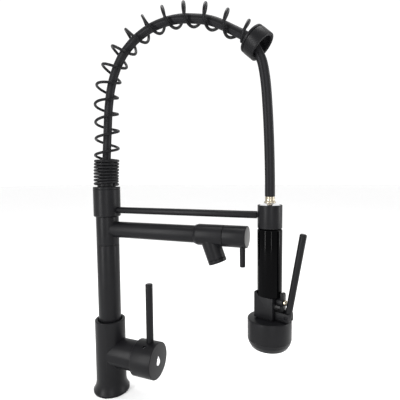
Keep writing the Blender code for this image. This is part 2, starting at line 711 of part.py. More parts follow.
def coil_points():
    """The spring's wire: close turns at its foot, open turns along the rest, right-handed."""
    line = smooth_route(spring_route(), 1.0)
    lengths = [0.0]
    for a, b in zip(line, line[1:]):
        lengths.append(lengths[-1] + math.dist(a, b))
    total = lengths[-1]
    count = int((CLOSE_TURNS + OPEN_TURNS) * SPRING_STEPS)
    points = []
    j = 0
    for i in range(count + 1):
        turn = i / SPRING_STEPS
        opened = max(turn - CLOSE_TURNS, 0.0) / OPEN_TURNS
        share_open = 0.0
        if turn <= CLOSE_TURNS:
            s = CLOSE_LENGTH * turn / CLOSE_TURNS
        else:
            grown = 1 + PITCH_EASE
            share_open = (grown - math.sqrt(grown**2 - 4 * PITCH_EASE * opened)) / (2 * PITCH_EASE)
            s = CLOSE_LENGTH + (total - CLOSE_LENGTH) * share_open
        radius = SPRING_R * (1 - COIL_TAPER * share_open)
        while j < len(line) - 2 and lengths[j + 1] < s:
            j += 1
        before = Vector(line[max(j - 1, 0)])
        after = Vector(line[min(j + 2, len(line) - 1)])
        tangent = (after - before).normalized()
        share = (s - lengths[j]) / (lengths[j + 1] - lengths[j])
        centre = Vector(line[j]).lerp(Vector(line[j + 1]), share)
        sideways = Vector((0, 1, 0))
        outward = sideways.cross(tangent)
        angle = 2 * math.pi * turn
        points.append(centre + radius * (math.cos(angle) * outward + math.sin(angle) * sideways))
    return points


def spring():
    seat = ring_profile(SPRING_R - WIRE_R - 1.1, HOSE_R + 0.7, COLLAR_TOP_Z + CLEAR, COLLAR_TOP_Z + 11.0, 0.5)
    turned("spring_seat", seat, BLACK, steps=INNER_ROUND)
    pipe("arch_spring", coil_points(), WIRE_R, BLACK, 1)


def hose():
    up = COLLAR_TOP_Z
    upper = [
        (0, up - 2.0 + CLEAR),
        (0, up + 16),
        (2.0, up + 46.7),
        (4.5, up + 78.5),
        (6.6, up + 102),
        (11.3, up + 128),
        (18.9, up + 149),
        (29.3, up + 166),
        (40.2, up + 177),
        (52.8, up + 186),
        (70.4, up + 194),
        (88.3, up + 198),
        (107.3, up + 199),
        (127.1, up + 196.4),
        (153.7, up + 188.6),
        (183.0, up + 171.6),
        ring_point(-RING_LENGTH / 2 - 4.0, -2.2),
        ring_point(-2 * CLEAR, -4.6),
    ]
    lower = [
        ring_point(2 * CLEAR, -4.6),
        ring_point(RING_LENGTH / 2, -7.0),
        (REACH - 8.6, HOSE_END_Z + 145),
        (REACH - 5.1, HOSE_END_Z + 124),
        (REACH - 2.9, HOSE_END_Z + 96.5),
        (REACH - 1.2, HOSE_END_Z + 62),
        (REACH - 0.2, HOSE_END_Z + 26),
        (REACH, HOSE_END_Z + CLEAR),
    ]
    pipe("hose_upper", smooth_route(upper, 14.0), HOSE_R, BRAID, 3)
    pipe("hose_lower", smooth_route(lower, 14.0), HOSE_R, BRAID, 3)


def end_ring():
    half = RING_LENGTH / 2
    groove = -half + 3.6
    bore = RING_R - RING_WALL
    profile = [
        (bore, half),
        (RING_R - 0.8, half),
        (RING_R, half - 0.8),
        (RING_R, groove + 0.6),
        (RING_R - 1.1, groove + 0.3),
        (RING_R - 1.1, groove - 0.6),
        (RING_R - 0.2, groove - 0.9),
        (RING_R - 0.2, -half + 0.8),
        (RING_R - 1.0, -half),
        (bore, -half),
    ]
    along = Matrix.Rotation(math.pi / 2 + RING_DIP, 4, "Y")
    at = (RING_X, 0, RING_Z)
    turned("spring_end_ring", profile, BLACK, along, at)
    liner = ring_profile(bore - CLEAR, bore - 1.2, -half + 1.0, half - 0.6, 0.3)
    turned("ring_liner", liner, BLACK, along, at, 22)


def hose_end():
    at = (REACH, 0, 0)
    ferrule = [
        (3.2, HOSE_END_Z),
        (HOSE_R - 0.5, HOSE_END_Z),
        (HOSE_R - 0.2, HOSE_END_Z - 0.4),
        (HOSE_R - 0.2, FERRULE_Z + 2.0),
        (HOSE_R + 1.1, FERRULE_Z + 1.2),
        (HOSE_R + 1.1, FERRULE_Z),
        (3.2, FERRULE_Z),
    ]
    turned("hose_ferrule", ferrule, BRASS, at=at, steps=INNER_ROUND)
    nut_r = CUP_BORE_R - 0.4
    core_r = 7.0
    thread_z = CUP_BOTTOM_Z + 12.0
    nut = [
        (4.0, FERRULE_Z - CLEAR),
        (HOSE_R + 1.5, FERRULE_Z - CLEAR),
        (nut_r, CUP_TOP_Z - 0.6),
        (nut_r, CUP_BOTTOM_Z + 3.0),
        (core_r + CLEAR, CUP_BOTTOM_Z + 3.0),
        (core_r + CLEAR, thread_z),
        (4.0, thread_z),
    ]
    turned("docking_nut", nut, CHROME, at=at)
    core = ring_profile(core_r, core_r - 2.2, HANDLE_BOTTOM_Z + CLEAR, thread_z - CLEAR, 0.3)
    turned("handle_core", core, BRASS, at=at, steps=INNER_ROUND)


# --- Spray handle, valve block, trigger and head -------------------------------------------------
def spray_place(extra=UPRIGHT):
    return Matrix.Rotation(LEVER_TURN, 4, "Z") @ extra


def spray_handle():
    top = HANDLE_TOP_Z
    neck = 7.0 + 0.4
    inner = HANDLE_R - HANDLE_WALL
    profile = [
        (neck, top),
        *arc(HANDLE_R - 1.4, top - 1.8, 1.8, 90, 0, 4),
        (HANDLE_R, top - 4.0),
        (HANDLE_R, HANDLE_BOTTOM_Z),
        (inner, HANDLE_BOTTOM_Z),
        (inner, top - 4.0),
        (neck, top - 4.0),
    ]
    turned("handle_sleeve", profile, GLOSS, at=(REACH, 0, 0))


def valve_block():
    top = BLOCK_H - CLEAR
    ear = arc(BLOCK_BACK + 9.0, top + 6.0, 6.0, -90, -165, 5)
    crest = top + EAR_H
    outline = [
        (BLOCK_BACK + 0.8, 0),
        (BLOCK_FRONT - 0.8, 0),
        (BLOCK_FRONT, 0.8),
        (BLOCK_FRONT, top - 0.6),
        (BLOCK_FRONT - 0.6, top),
        *ear,
        (BLOCK_BACK + 2.0, crest + 0.4),
        (BLOCK_BACK + 0.8, crest),
        (BLOCK_BACK, crest - 1.4),
        (BLOCK_BACK, 0.8),
    ]
    standing = spray_place(Matrix.Rotation(math.radians(90.0), 4, "X"))
    foot = (REACH, 0, BLOCK_Z)
    block = curve_solid("spray_valve_block", outline, 2 * BLOCK_HALF_DEPTH, BLACK, standing, foot)
    lug_half = 6.0
    slot_half = TRIGGER_R + 0.4
    lug_end = TRIGGER_FOOT + 3.4
    lug_h = 2 * HINGE_UP - 0.6
    turn = spray_place()
    join(block, box("lug_tool", (0, -lug_half, 0), (lug_end, lug_half, lug_h), BLACK, turn, foot, True))
    slot_x = TRIGGER_FOOT - TRIGGER_R - 1.0
    slot_low, slot_high = (slot_x, -slot_half, -2), (lug_end + 5, slot_half, lug_h + 3)
    slot = box("slot_tool", slot_low, slot_high, BLACK, turn, foot, True)
    cut(block, slot)
    recess_at = (REACH, 0, HANDLE_BOTTOM_Z - CLEAR)
    cut(block, cylinder("recess_tool", HANDLE_R + CLEAR, 20.0, BLACK, UPRIGHT, recess_at, ROUND, True))
    riser_at = (REACH, 0, BLOCK_Z - 5.0)
    cut(block, cylinder("riser_tool", 4.6, BLOCK_H + 10.0, BLACK, UPRIGHT, riser_at, 20, True))
    axle = spray_place(Matrix.Rotation(math.radians(90.0), 4, "X"))
    pin_r = 1.5
    across = turn @ Vector((TRIGGER_FOOT, lug_half + 1.0, 0))
    hole_at = (REACH + across.x, across.y, HINGE_Z)
    cut(block, cylinder("pin_hole_tool", pin_r + 0.3, 2 * lug_half + 2.0, BLACK, axle, hole_at, 16, True))
    across = turn @ Vector((TRIGGER_FOOT, lug_half - 0.2, 0))
    cylinder("trigger_pin", pin_r, 2 * lug_half - 0.4, BLACK, axle, (REACH + across.x, across.y, HINGE_Z), 16)
    forward = spray_place(ALONG_X)
    at = (REACH, 0, VALVE_Z)
    piston_r = 4.1
    back = BLOCK_BACK + 4.0
    piston_place = forward @ Matrix.Translation((0, 0, back * MM))
    bore = cylinder("piston_tool", piston_r + CLEAR, 30.0, BLACK, piston_place, at, 20, True)
    cut(block, bore)
    guide_r = 3.0
    tip = trigger_inner_face(VALVE_Z) - 2 * CLEAR
    plunger = [
        (0, tip),
        (guide_r - 0.8, tip),
        (guide_r, tip - 0.8),
        (guide_r, BLOCK_FRONT - 2.0),
        (piston_r, BLOCK_FRONT - 2.0),
        (piston_r, BLOCK_FRONT - 4.5),
        (1.6, BLOCK_FRONT - 4.5),
        (1.6, back + 6.5),
        (3.6, back + 6.5),
        (3.6, back + 4.0),
        (0, back + 4.0),
    ]
    turned("trigger_plunger", plunger, BRASS, forward, at, 16)
    clip_x = HANDLE_R + 2 * CLEAR
    bonnet = [
        (0, clip_x + 3.4),
        (BONNET_R - 0.8, clip_x + 3.4),
        (BONNET_R, clip_x + 2.6),
        (BONNET_R, BLOCK_FRONT + CLEAR),
        (0, BLOCK_FRONT + CLEAR),
    ]
    guide = turned("valve_bonnet", bonnet, BLACK, forward, at, 24)
    clip = [
        (clip_x, 0),
        (clip_x + 3.2, 0),
        (clip_x + 3.2, CLIP_H - 1.6),
        (clip_x + 2.2, CLIP_H - 0.3),
        (clip_x + 1.2, CLIP_H),
        (clip_x, CLIP_H - 0.8),
    ]
    clip_place = spray_place(Matrix.Rotation(math.radians(90.0), 4, "X"))
    join(guide, curve_solid("clip_tool", clip, 6.8, BLACK, clip_place, at, True))
    plunger_hole = forward @ Matrix.Translation((0, 0, BLOCK_FRONT * MM))
    cut(guide, cylinder("plunger_tool", guide_r + 0.3, 12.0, BLACK, plunger_hole, at, 20, True))
    cap_at = (REACH, 0, BLOCK_Z + 13.5)
    cap = rod_profile(4.5, BLOCK_BACK - 2.7, BLOCK_BACK - CLEAR, 0.6)
    turned("valve_end_cap", cap, BLACK, forward, cap_at, 20)


def trigger_lean():
    return math.atan2(TRIGGER_TOP - TRIGGER_FOOT, TRIGGER_H)


def trigger_inner_face(height):
    """How far the trigger's inner side stands from the handle's axis at a height."""
    lean = trigger_lean()
    return TRIGGER_FOOT + (height - HINGE_Z) * math.tan(lean) - TRIGGER_R / math.cos(lean)


def trigger():
    lean = spray_place(Matrix.Rotation(trigger_lean(), 4, "Y"))
    foot = Matrix.Rotation(LEVER_TURN, 4, "Z") @ Vector((TRIGGER_FOOT, 0, 0))
    at = (REACH + foot.x, foot.y, HINGE_Z)
    length = TRIGGER_H / math.cos(trigger_lean())
    profile = [
        (0, length),
        *arc(TRIGGER_R - 1.6, length - 1.6, 1.6, 90, 0, 3),
        *arc(TRIGGER_R - 1.4, -HINGE_UP + 2.3, 1.4, 0, -90, 3),
        (0, -HINGE_UP + 0.9),
    ]
    lever = turned("trigger_lever", profile, BLACK, lean, at, 24)
    axle = spray_place(Matrix.Rotation(math.radians(90.0), 4, "X"))
    side = Matrix.Rotation(LEVER_TURN, 4, "Z") @ Vector((TRIGGER_FOOT, 10.0, 0))
    cut(lever, cylinder("eye_tool", 1.8, 20.0, BLACK, axle, (REACH + side.x, side.y, HINGE_Z), 16, True))


def spray_head():
    wall = 2.2
    side_z = 9.4  # foot of the straight side
    inner = HEAD_R - wall
    mouth_r = HEAD_R - 5.6
    profile = [
        (5.2, HEAD_H),
        (HEAD_R / 2, HEAD_H),
        (HEAD_R - 1.6, HEAD_H - 1.0),
        *arc(HEAD_R - 1.6, HEAD_H - 2.6, 1.6, 80, 0, 3),
        (HEAD_R, side_z),
        (HEAD_R - 1.3, 5.0),
        (HEAD_R - 3.6, 1.0),
        (HEAD_R - 4.6, 0),
        (mouth_r, 0),
        (mouth_r, 3.2),
        (inner, side_z + 1.5),
        (inner, HEAD_H - 4.0),
        (5.2, HEAD_H - 4.0),
    ]
    at = (REACH, 0, HEAD_Z)
    turned("spray_head_shell", profile, BLACK, at=at)
    plate_r = mouth_r - CLEAR
    turned("spray_face_plate", ring_profile(plate_r, 6.3, 0.7, 3.0, 0.4), GREY, at=at)
    turned("spray_nozzle_pad", ring_profile(plate_r, 6.3, 3.3, 5.0, 0.4), RUBBER, at=at, steps=INNER_ROUND)
    turned("jet_insert", rod_profile(6.0, 1.1, 5.6, 0.3), GREY, at=at, steps=INNER_ROUND)


clear_scene()
PARTS = collection("pull_down_kitchen_faucet")
CUTTERS = collection("cutters")
mixer_body()
deck_hardware()
column()
side_valve()
side_handle()
spout()
spout_valve()
docking_arm()
spring()
hose()
end_ring()
hose_end()
spray_handle()
valve_block()
trigger()
spray_head()
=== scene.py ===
"""Pull-down kitchen faucet with a spring arch, a pot filler and a docking spray.

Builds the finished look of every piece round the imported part, and a plain studio to see it in.
Sizes inside the functions are in millimetres; meshes are in metres, in the part's own frame.
"""
import math
from functools import partial

import bmesh
import bpy
from bpy.props import FloatProperty, FloatVectorProperty, IntProperty, PointerProperty
from bpy.types import Operator, Panel, PropertyGroup
from mathutils import Matrix, Vector


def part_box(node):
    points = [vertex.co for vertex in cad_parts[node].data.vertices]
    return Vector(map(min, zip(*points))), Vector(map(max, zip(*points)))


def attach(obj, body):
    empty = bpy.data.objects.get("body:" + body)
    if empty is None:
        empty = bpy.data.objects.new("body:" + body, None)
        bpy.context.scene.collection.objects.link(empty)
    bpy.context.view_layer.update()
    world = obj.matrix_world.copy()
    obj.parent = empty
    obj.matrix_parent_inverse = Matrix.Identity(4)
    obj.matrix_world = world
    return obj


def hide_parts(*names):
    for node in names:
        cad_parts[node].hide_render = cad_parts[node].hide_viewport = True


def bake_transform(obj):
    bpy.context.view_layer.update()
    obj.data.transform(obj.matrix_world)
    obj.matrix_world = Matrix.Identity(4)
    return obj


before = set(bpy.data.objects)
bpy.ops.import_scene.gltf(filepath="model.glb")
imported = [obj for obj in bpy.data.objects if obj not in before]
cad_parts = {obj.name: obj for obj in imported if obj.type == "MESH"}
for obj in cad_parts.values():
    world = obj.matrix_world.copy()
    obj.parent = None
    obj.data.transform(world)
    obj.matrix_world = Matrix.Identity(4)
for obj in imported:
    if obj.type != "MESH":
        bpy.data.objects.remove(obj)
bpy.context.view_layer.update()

bl_info = {
    "name": "Pull-down kitchen faucet", "version": (1, 0, 0), "blender": (4, 5, 0),
    "location": "View3D > Sidebar > Faucet",
    "description": "Finished pieces of a black spring faucet, built round its solid model",
    "category": "Add Mesh",
}

MM = 0.001
FINE = 112  # facets round a large turned piece
SLIM = 64  # facets round a rod or a small turned piece
TINY = 32  # facets round a hole, a screw or a hidden bore
CLEAR = 0.3  # gap between neighbouring pieces
ON_AXIS = 1e-6  # a smaller radius is a point on the axis
SAME_POINT = 1e-7  # nearer vertices are one
EDGE_SHARE = 0.49  # how much of an edge one rounded corner may take
SHARP = math.radians(35.0)  # edges of a slab that are rounded
THREAD_STEPS = 40  # points in one turn of the shank's thread
COIL_STEPS = 72  # points in one turn of the spring


# --- Where the solid model's pieces are ---
def low(node):
    """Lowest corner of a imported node's box, in millimetres."""
    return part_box(node)[0] / MM


def high(node):
    """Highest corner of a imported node's box, in millimetres."""
    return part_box(node)[1] / MM


def span(node):
    """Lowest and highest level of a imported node, in millimetres."""
    return low(node).z, high(node).z


def turned_by(degrees, axis):
    """A turn about one of the part's own directions."""
    return Matrix.Rotation(math.radians(degrees), 4, axis)


ALONG_X = turned_by(90.0, "Y")
SIDEWAYS = turned_by(90.0, "X")
UPRIGHT = Matrix.Identity(4)
COLUMN_R = 15.0
REACH = 219.5  # from the column's axis to the spray's
SPRAY_TURN = math.radians(-17.0)  # the trigger's direction about the spray's axis
RING_DIP = math.radians(43.0)  # the end ring's axis below the horizontal
RING_MIDDLE = (204.7, 437.9)
RING_LENGTH = 17.5
COLLAR_TOP = high("top_collar").z
FERRULE_TOP = high("hose_ferrule").z
STUB_Z = 54.2
SPOUT_Z = 224.0
NOZZLE_TILT = math.radians(20.5)
NOZZLE_FROM = (146.1, 0.0, SPOUT_Z)


def place(x=0.0, y=0.0, z=0.0, turn=UPRIGHT):
    """A place in the part's frame: a turn about a point given in millimetres."""
    return Matrix.Translation(Vector((x, y, z)) * MM) @ turn


# --- Mesh tools ---
def arc(radius, first, last, steps, x=0.0, y=0.0):
    """Points round a centre from one angle to another."""
    angles = [first + (last - first) * i / steps for i in range(steps + 1)]
    return [(x + radius * math.cos(a), y + radius * math.sin(a)) for a in angles]


def rounded(corners, steps=5):
    """Outline (r, z) from corners (r, z) or (r, z, radius), with the corners that have a radius rounded."""
    points = []
    count = len(corners)
    for i, corner in enumerate(corners):
        here = Vector(corner[:2])
        radius = corner[2] if len(corner) > 2 else 0.0
        if not radius:
            points.append(tuple(here))
            continue
        back = Vector(corners[i - 1][:2]) - here
        on = Vector(corners[(i + 1) % count][:2]) - here
        a, b = back.normalized(), on.normalized()
        half = a.angle(b) / 2
        run = min(radius / math.tan(half), EDGE_SHARE * back.length, EDGE_SHARE * on.length)
        radius = run * math.tan(half)
        middle = here + (a + b).normalized() * (radius / math.sin(half))
        start, end = here + a * run - middle, here + b * run - middle
        swing = math.pi - 2 * half
        for k in range(steps + 1):
            t = k / steps
            spoke = (start * math.sin((1 - t) * swing) + end * math.sin(t * swing)) / math.sin(swing)
            points.append(tuple(middle + spoke))
    return points


def six_corners(radius, first=0.0):
    """A hexagon's corners."""
    return arc(radius, first, first + 5 * math.pi / 3, 5)


def lathe(profile, steps=FINE, at=UPRIGHT):
    """Closed solid of revolution about Z from an outline (r, z) in millimetres, set at a place."""
    mesh = bmesh.new()
    rings = []
    for radius, z in profile:
        if radius < ON_AXIS:
            rings.append([mesh.verts.new((0, 0, z * MM))])
            continue
        angles = [2 * math.pi * k / steps for k in range(steps)]
        spokes = [(radius * MM * math.cos(a), radius * MM * math.sin(a), z * MM) for a in angles]
        rings.append([mesh.verts.new(spoke) for spoke in spokes])
    for here, there in zip(rings, rings[1:] + rings[:1]):
        if len(here) == len(there) == 1:
            continue
        for k in range(steps):
            n = (k + 1) % steps
            if len(here) == 1:
                mesh.faces.new((here[0], there[n], there[k]))
            elif len(there) == 1:
                mesh.faces.new((here[k], here[n], there[0]))
            else:
                mesh.faces.new((here[k], here[n], there[n], there[k]))
    bmesh.ops.remove_doubles(mesh, verts=mesh.verts, dist=SAME_POINT)
    bmesh.ops.transform(mesh, matrix=at, verts=mesh.verts)
    bmesh.ops.recalc_face_normals(mesh, faces=mesh.faces)
    return mesh


def rod(radius, start, end, edge=0.4, steps=SLIM, at=UPRIGHT, foot_edge=None):
    """Round bar along Z with rounded ends."""
    foot_edge = edge if foot_edge is None else foot_edge
    profile = rounded([(0, start), (radius, start, foot_edge), (radius, end, edge), (0, end)])
    return lathe(profile, steps, at)


def tube(outer, inner, start, end, edge=0.4, steps=FINE, at=UPRIGHT):
    """Round tube along Z with rounded rims."""
    corners = [(outer, start, edge), (outer, end, edge), (inner, end, edge), (inner, start, edge)]
    return lathe(rounded(corners, 4), steps, at)


def slab(outline, depth, edge, at=UPRIGHT):
    """Flat outline in X and Y drawn out along Z, its edges rounded."""
    mesh = bmesh.new()
    face = mesh.faces.new([mesh.verts.new((x * MM, y * MM, 0)) for x, y in outline])
    drawn = bmesh.ops.extrude_face_region(mesh, geom=[face])
    moved = [v for v in drawn["geom"] if isinstance(v, bmesh.types.BMVert)]
    bmesh.ops.translate(mesh, verts=moved, vec=(0, 0, depth * MM))
    bmesh.ops.recalc_face_normals(mesh, faces=mesh.faces)
    if edge:
        sharp = [e for e in mesh.edges if e.calc_face_angle(0) > SHARP]
        edges = {"geom": sharp, "affect": "EDGES", "segments": 3, "profile": 0.5, "clamp_overlap": True}
        bmesh.ops.bevel(mesh, offset=edge * MM, **edges)
    bmesh.ops.transform(mesh, matrix=at, verts=mesh.verts)
    bmesh.ops.recalc_face_normals(mesh, faces=mesh.faces)
    return mesh


def block(start, end, edge, at=UPRIGHT):
    """Box between two corners with rounded edges."""
    (x0, y0, z0), (x1, y1, z1) = start, end
    outline = [(x0, y0), (x1, y0), (x1, y1), (x0, y1)]
    return slab(outline, z1 - z0, edge, at @ Matrix.Translation((0, 0, z0 * MM)))


def solid(name, mesh):
    """Turns a worked mesh into an object of the scene."""
    data = bpy.data.meshes.new(name)
    mesh.to_mesh(data)
    mesh.free()
    obj = bpy.data.objects.new(name, data)
    bpy.context.scene.collection.objects.link(obj)
    return obj


def shape(obj, operation, mesh):
    """Joins a tool mesh to a piece, cuts it out of it, or keeps what both share."""
    tool = solid("shape_tool", mesh)
    modifier = obj.modifiers.new("shape", "BOOLEAN")
    modifier.operation, modifier.solver, modifier.object = operation, "EXACT", tool
    apply_modifiers(obj)
    bpy.data.objects.remove(tool)
    if not obj.data.polygons:
        raise RuntimeError(f"{obj.name} has no faces left after a {operation.lower()}")


def join(obj, mesh):
    shape(obj, "UNION", mesh)


def cut(obj, mesh):
    shape(obj, "DIFFERENCE", mesh)


def apply_modifiers(obj):
    """Replaces a piece's mesh by what its modifiers make of it."""
    bpy.context.view_layer.update()
    graph = bpy.context.evaluated_depsgraph_get()
    made = bpy.data.meshes.new_from_object(obj.evaluated_get(graph), depsgraph=graph)
    old = obj.data
    obj.modifiers.clear()
    obj.data = made
    bpy.data.meshes.remove(old)
    made.name = obj.name


def finish(obj, body, slot, node, smooth=30.0):
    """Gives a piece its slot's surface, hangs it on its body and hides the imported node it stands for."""
    data = obj.data
    data.materials.clear()
    data.materials.append(finishes()[slot])
    for face in data.polygons:
        face.use_smooth = True
        face.material_index = 0
    data.set_sharp_from_angle(angle=math.radians(smooth))
    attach(obj, body)
    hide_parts(node)
    return obj


def piece(name, mesh, body, slot, node, smooth=30.0):
    """A piece that needs no joins or cuts."""
    return finish(solid(name, mesh), body, slot, node, smooth)


def bore(obj, radius, start, end, steps=SLIM, at=UPRIGHT):
    """Cuts a round hole through a piece."""
    cut(obj, rod(radius, start, end, 0.0, steps, at))


# --- Finishes ---
def once(store, name):
    """Lets a maker run the first time only; afterwards what it made is found by its name."""

    def wrap(make):
        def find(*values, **named):
            kept = getattr(bpy.data, store)
            return kept[name] if name in kept else make(name, *values, **named)

        return find

    return wrap


def tree_tool(tree):
    """A short way to add nodes, whose inputs (by name or number) are values or other nodes' outputs."""

    def add(kind, inputs=None, **settings):
        made = tree.nodes.new(kind)
        for key, value in settings.items():
            setattr(made, key, value)
        for key, value in (inputs or {}).items():
            if isinstance(value, bpy.types.NodeSocket):
                tree.links.new(value, made.inputs[key])
            else:
                made.inputs[key].default_value = value
        return made

    return add


def maths(add, kind, *terms):
    """The result of one step of arithmetic on outputs or numbers."""
    return add("ShaderNodeMath", dict(enumerate(terms)), operation=kind).outputs[0]


def new_group(name, kind, inputs, outputs):
    """A node group with its sockets (name, type and perhaps value), and the tool to fill it."""
    group = bpy.data.node_groups.new(name, kind)
    for direction, sockets in (("INPUT", inputs), ("OUTPUT", outputs)):
        for label, holds, *value in sockets:
            made = group.interface.new_socket(name=label, in_out=direction, socket_type="NodeSocket" + holds)
            if value:
                made.default_value = value[0]
    add = tree_tool(group)
    return group, add, add("NodeGroupInput").outputs


SURFACE_INPUTS = [
    ("Bump", "Float", 0.1), ("Smooth", "Float", 0.3), ("Rough", "Float", 0.45),
    ("Dark", "Color", (0.02, 0.02, 0.02, 1.0)), ("Light", "Color", (0.04, 0.04, 0.04, 1.0)),
]
SURFACE_OUTPUTS = [("Color", "Color"), ("Roughness", "Float"), ("Normal", "Vector")]


def end_surface(add, given, tone, height, depth):
    """Ends a surface group: its tone picks colour and roughness, and its height makes the bump."""
    colour = add("ShaderNodeMix", {"Factor": tone, 6: given["Dark"], 7: given["Light"]}, data_type="RGBA")
    rough = add("ShaderNodeMapRange", {"Value": tone, "To Min": given["Smooth"], "To Max": given["Rough"]})
    bump = add("ShaderNodeBump", {"Distance": depth, "Strength": given["Bump"], "Height": height})
    result = {"Color": colour.outputs[2], "Roughness": rough.outputs[0], "Normal": bump.outputs[0]}
    add("NodeGroupOutput", result)


@once("node_groups", "surface_grain")
def grain_group(name):
    """Fine cast or sprayed grain: a slow drift of tone, a fine speckle and the bump they make."""
    inputs = [("Grain Scale", "Float", 2600.0), ("Drift Scale", "Float", 60.0), *SURFACE_INPUTS]
    group, add, given = new_group(name, "ShaderNodeTree", inputs, SURFACE_OUTPUTS)
    where = add("ShaderNodeTexCoord").outputs["Object"]
    drift, speckle = (
        add("ShaderNodeTexNoise", {"Vector": where, "Scale": given[scale], "Detail": detail}).outputs["Fac"]
        for scale, detail in (("Drift Scale", 4.0), ("Grain Scale", 2.0))
    )
    both = add("ShaderNodeMix", {"Factor": 0.45, 2: drift, 3: speckle}, data_type="FLOAT").outputs[0]
    tone = add("ShaderNodeMapRange", {"Value": both, "From Min": 0.3, "From Max": 0.7}).outputs[0]
    end_surface(add, given, tone, speckle, 0.0002)
    return group


@once("node_groups", "brushed_lines")
def brushed_group(name):
    """Fine lines left by turning or brushing: noise stretched along one direction of the piece."""
    inputs = [("Vector", "Vector"), ("Scale", "Float", 900.0), *SURFACE_INPUTS]
    group, add, given = new_group(name, "ShaderNodeTree", inputs, SURFACE_OUTPUTS)
    lines = {"Vector": given["Vector"], "Scale": given["Scale"], "Detail": 3.0}
    lines = add("ShaderNodeTexNoise", lines).outputs["Fac"]
    end_surface(add, given, lines, lines, 0.0001)
    return group


@once("node_groups", "braid")
def braid_group(name):
    """Two sets of flat strands that cross over and under each other round a hose, coloured darker where they
    sink: painted shade in the gaps and under the crossings.
    """
    inputs = [
        ("Across", "Float", 8.0), ("Along", "Float", 1.0), ("Dark", "Color", (0.004, 0.004, 0.004, 1.0)),
        ("Light", "Color", (0.05, 0.05, 0.05, 1.0)),
    ]
    group, add, given = new_group(name, "ShaderNodeTree", inputs, [("Color", "Color"), ("Height", "Float")])
    step = partial(maths, add)
    where = add("ShaderNodeUVMap", uv_map="hose_map").outputs["UV"]
    apart = add("ShaderNodeSeparateXYZ", {"Vector": where}).outputs
    around = step("MULTIPLY", apart["X"], given["Across"])
    length = step("MULTIPLY", apart["Y"], given["Along"])
    right, left = step("ADD", around, length), step("SUBTRACT", around, length)
    heights = []
    for turn, other, sway in ((right, left, 0.5), (left, right, -0.5)):
        strand = step("ABSOLUTE", step("SINE", step("MULTIPLY", turn, math.pi)))
        over = step("MULTIPLY", step("SINE", step("MULTIPLY", other, math.pi)), sway)
        heights.append(step("MULTIPLY", step("POWER", strand, 0.6), step("ADD", over, 0.5)))
    height = step("MAXIMUM", *heights)
    # Painted shade: the colour runs from Dark in the gaps and dips of the weave to Light on the raised
    # strands.
    colour = add("ShaderNodeMix", {"Factor": height, 6: given["Dark"], 7: given["Light"]}, data_type="RGBA")
    add("NodeGroupOutput", {"Color": colour.outputs[2], "Height": height})
    return group


def shader(name, metallic=0.0, specular=0.5):
    """A new material, the inputs of its Principled shader, and the tool to add to its nodes."""
    material = bpy.data.materials.new(name)
    material.use_nodes = True
    surface = material.node_tree.nodes["Principled BSDF"].inputs
    surface["Metallic"].default_value = metallic
    surface["Specular IOR Level"].default_value = specular
    return material, surface, tree_tool(material.node_tree)


def dress(material, surface, colour, rough, normal):
    """Feeds a material's shader with a pattern's colour, roughness and normal."""
    for source, target in ((colour, "Base Color"), (rough, "Roughness"), (normal, "Normal")):
        material.node_tree.links.new(source, surface[target])
    return material


def shade(colour, factor):
    """A linear colour made darker or lighter, with full alpha."""
    return (*(min(1.0, c * factor) for c in colour[:3]), 1.0)


def tones(colour, spread, smooth, rough, bump):
    """What a surface group is told: two tones of a colour, a span of roughness and a bump."""
    dark, light = shade(colour, 1 - spread), shade(colour, 1 + spread)
    return {"Dark": dark, "Light": light, "Smooth": smooth, "Rough": rough, "Bump": bump}


def grained(name, colour, smooth, rough, bump, grain=2600.0, drift=60.0, spread=0.25, **shader_values):
    """A painted, moulded or cast material."""
    if name in bpy.data.materials:
        return bpy.data.materials[name]
    material, surface, add = shader(name, **shader_values)
    values = {"Grain Scale": grain, "Drift Scale": drift, **tones(colour, spread, smooth, rough, bump)}
    return dress(material, surface, *add("ShaderNodeGroup", values, node_tree=grain_group()).outputs)


def brushed(name, colour, smooth, rough, bump, axis="Z", at=(0, 0, 0), scale=900.0, **shader_values):
    """A turned or brushed metal whose lines run round an axis through a point (millimetres)."""
    if name in bpy.data.materials:
        return bpy.data.materials[name]
    material, surface, add = shader(name, **shader_values)
    where = add("ShaderNodeTexCoord").outputs["Object"]
    centred = add("ShaderNodeMapping", {"Vector": where, "Location": [-c * MM for c in at]}).outputs[0]
    apart = add("ShaderNodeSeparateXYZ", {"Vector": centred}).outputs
    squares = [maths(add, "MULTIPLY", apart[k], apart[k]) for k in "XYZ" if k != axis]
    distance = maths(add, "SQRT", maths(add, "ADD", *squares))
    lines = add("ShaderNodeCombineXYZ", {"X": distance, "Y": apart[axis]}).outputs[0]
    values = {"Vector": lines, "Scale": scale, **tones(colour, 0.12, smooth, rough, bump)}
    return dress(material, surface, *add("ShaderNodeGroup", values, node_tree=brushed_group()).outputs)


@once("materials", "woven_black")
def braided(name, colour):
    """Woven cover of the hose, laid out on the hose's own map, with painted shade where the strands sink."""
    material, surface, add = shader(name, specular=0.12)
    # Dark is painted shade for the weave's gaps and dips; Light is the raised strands' tone.
    values = {"Dark": shade(colour, 0.25), "Light": shade(colour, 1.8)}
    strands = add("ShaderNodeGroup", values, node_tree=braid_group()).outputs
    bump = add("ShaderNodeBump", {"Strength": 0.7, "Distance": 0.0004, "Height": strands["Height"]})
    rough = add("ShaderNodeMapRange", {"To Min": 0.7, "To Max": 0.42, "Value": strands["Height"]})
    return dress(material, surface, strands["Color"], rough.outputs[0], bump.outputs[0])


